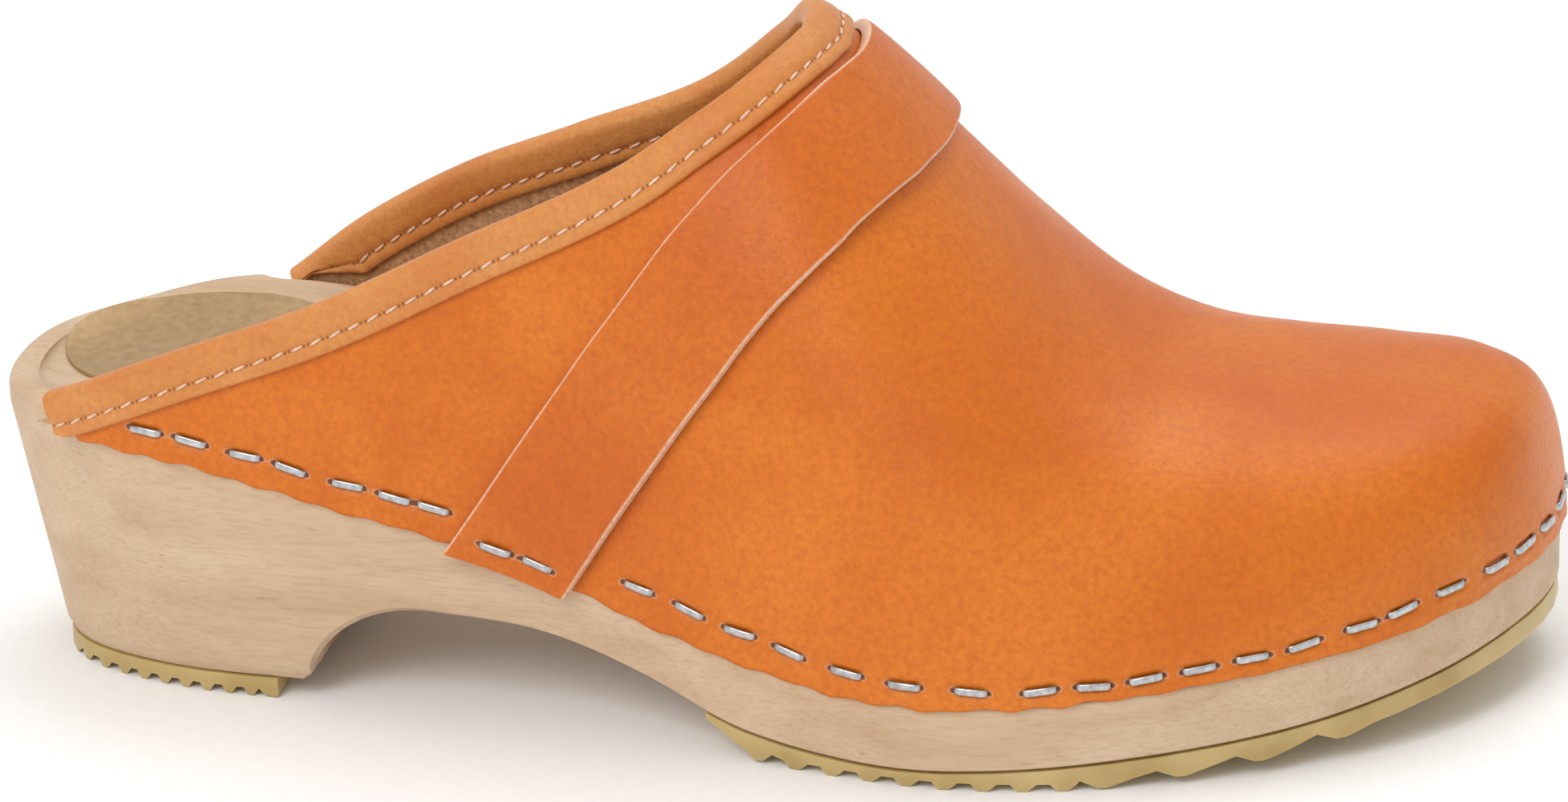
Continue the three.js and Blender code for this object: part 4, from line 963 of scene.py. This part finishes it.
def driven_staples(name, nodes, frames, ground, ground_out, proud):
    """Staples whose crowns lie on the leather nearest to their CAD nodes."""
    flat, out = ground.reshape(-1, 3), ground_out.reshape(-1, 3)
    crown, wire, thick, leg = 5.8, 1.3, 0.7, 3.2
    path = [(-0.5 * crown + 0.35, -leg), (-0.5 * crown + 0.35, -1.2), (-0.5 * crown + 0.36, -0.75),
            (-0.5 * crown + 0.42, -0.42), (-0.5 * crown + 0.62, -0.18), (-0.5 * crown + 1.0, -0.04)]
    path = path + [(-s, d) for s, d in path[::-1]]
    path = np.array(path)
    lean = np.gradient(path, axis=0)
    lean /= np.linalg.norm(lean, axis=1)[:, None]
    bm = bmesh.new()
    for middle, along, _, across in frames:
        near = np.linalg.norm(flat - middle, axis=1).argmin()
        normal = unit(out[near])
        off = middle - flat[near]
        at = flat[near] + along * np.dot(off, along) + across * np.dot(off, across) + normal * proud
        along = unit(along - normal * np.dot(along, normal))
        across = np.cross(along, normal)
        made = bmesh.ops.create_grid(bm, x_segments=len(path) - 1, y_segments=10, size=0.5)["verts"]
        for v in made:
            i = int(round((v.co.x + 0.5) * (len(path) - 1)))
            turn = 2 * math.pi * (v.co.y + 0.5)
            w, h = math.cos(turn), math.sin(turn)
            w = 0.5 * wire * math.copysign(abs(w) ** 0.45, w)
            h = 0.5 * thick * math.copysign(abs(h) ** 0.7, h)
            s, d = path[i]
            s, d = s - lean[i, 1] * h, d + lean[i, 0] * h
            v.co = placed(at + along * s + normal * d + across * w)
    close_up(bm, 1e-6, 70)
    piece(name, bm, [steel], "staple_steel", *nodes)


def chosen(frames, names, word):
    """The staples whose names hold a word, and their places."""
    keep = [k for k, n in enumerate(names) if word in n]
    return [names[k] for k in keep], frames[keep]


for name, word in (("outer_staples", "_outer_"), ("inner_staples", "_inner_")):
    nodes, frames = chosen(edge_frames, edge_nodes, word)
    driven_staples(name, nodes, frames, grain_side, grain_out, 0.42)
nodes, frames = chosen(strap_frames, strap_nodes, "strap")
driven_staples("strap_staples", nodes, frames, band[:, 4:24], band_out[:, 4:24], 0.42)


# ---------------------------------------------------------------- floor, light and camera
# A pale floor, a large soft box in front to the left, one above behind, and a long lens.
paper, tree = empty_material("white_paper_floor")
place = add(tree, "TexCoord").outputs["Object"]
tooth = add(tree, "TexNoise", {"Vector": place, "Scale": every(2.5), "Detail": 2.0})
tone = add(tree, "ValToRGB", {"Fac": tooth.outputs["Fac"]}, ramp=[(0.2, "#F7F7F7"), (0.8, "#FBFBFB")])
surface(tree, {"Base Color": tone.outputs[0], "Roughness": 0.9, "Specular IOR Level": 0.1})
bm = bmesh.new()
bmesh.ops.create_grid(bm, x_segments=4, y_segments=4, size=4.0)
mesh = bpy.data.meshes.new("floor")
bm.to_mesh(mesh)
bm.free()
mesh.materials.append(paper)
floor = bpy.data.objects.new("floor", mesh)
bpy.context.scene.collection.objects.link(floor)

world = bpy.data.worlds.new("studio")
bpy.context.scene.world = world
world.use_nodes = True
world.node_tree.nodes["Background"].inputs["Color"].default_value = (1.0, 1.0, 1.0, 1.0)
world.node_tree.nodes["Background"].inputs["Strength"].default_value = 0.72


def soft_box(name, place, target, size, power):
    """A square area lamp turned to a target."""
    lamp = bpy.data.lights.new(name, "AREA")
    lamp.shape, lamp.size, lamp.energy = "SQUARE", size, power
    made = bpy.data.objects.new(name, lamp)
    made.location = place
    made.rotation_mode = "QUATERNION"
    made.rotation_quaternion = (Vector(place) - Vector(target)).to_track_quat("Z", "Y")
    bpy.context.scene.collection.objects.link(made)


soft_box("front_box", (-0.5, -1.3, 1.25), (0, 0, 0.04), 0.9, 13.0)
soft_box("top_box", (0.25, 0.5, 1.5), (0, 0, 0.04), 1.1, 9.0)

azimuth, elevation, roll = (math.radians(a) for a in (14.854, 22.369, 3.526))
back = Vector((math.sin(azimuth) * math.cos(elevation), -math.cos(azimuth) * math.cos(elevation),
               math.sin(elevation)))
right = Vector((math.cos(azimuth), math.sin(azimuth), 0))
above = back.cross(right)
tilted_right = right * math.cos(roll) - above * math.sin(roll)
tilted_up = right * math.sin(roll) + above * math.cos(roll)
target = Vector(placed([127.0, 0.0, 35.0]))
stand = target + back * 2.1273
aim = target + tilted_right * 0.00217 + tilted_up * 0.00819
look = (stand - aim).normalized()
side_axis = (tilted_right - look * tilted_right.dot(look)).normalized()
lens = bpy.data.cameras.new("long_lens")
lens.sensor_width = 36.0
lens.lens = 300.1
camera = bpy.data.objects.new("camera", lens)
camera.matrix_world = Matrix((
    (side_axis.x, look.cross(side_axis).x, look.x, stand.x),
    (side_axis.y, look.cross(side_axis).y, look.y, stand.y),
    (side_axis.z, look.cross(side_axis).z, look.z, stand.z),
    (0, 0, 0, 1)))
bpy.context.scene.collection.objects.link(camera)
bpy.context.scene.camera = camera
bpy.context.scene.view_settings.view_transform = "Standard"
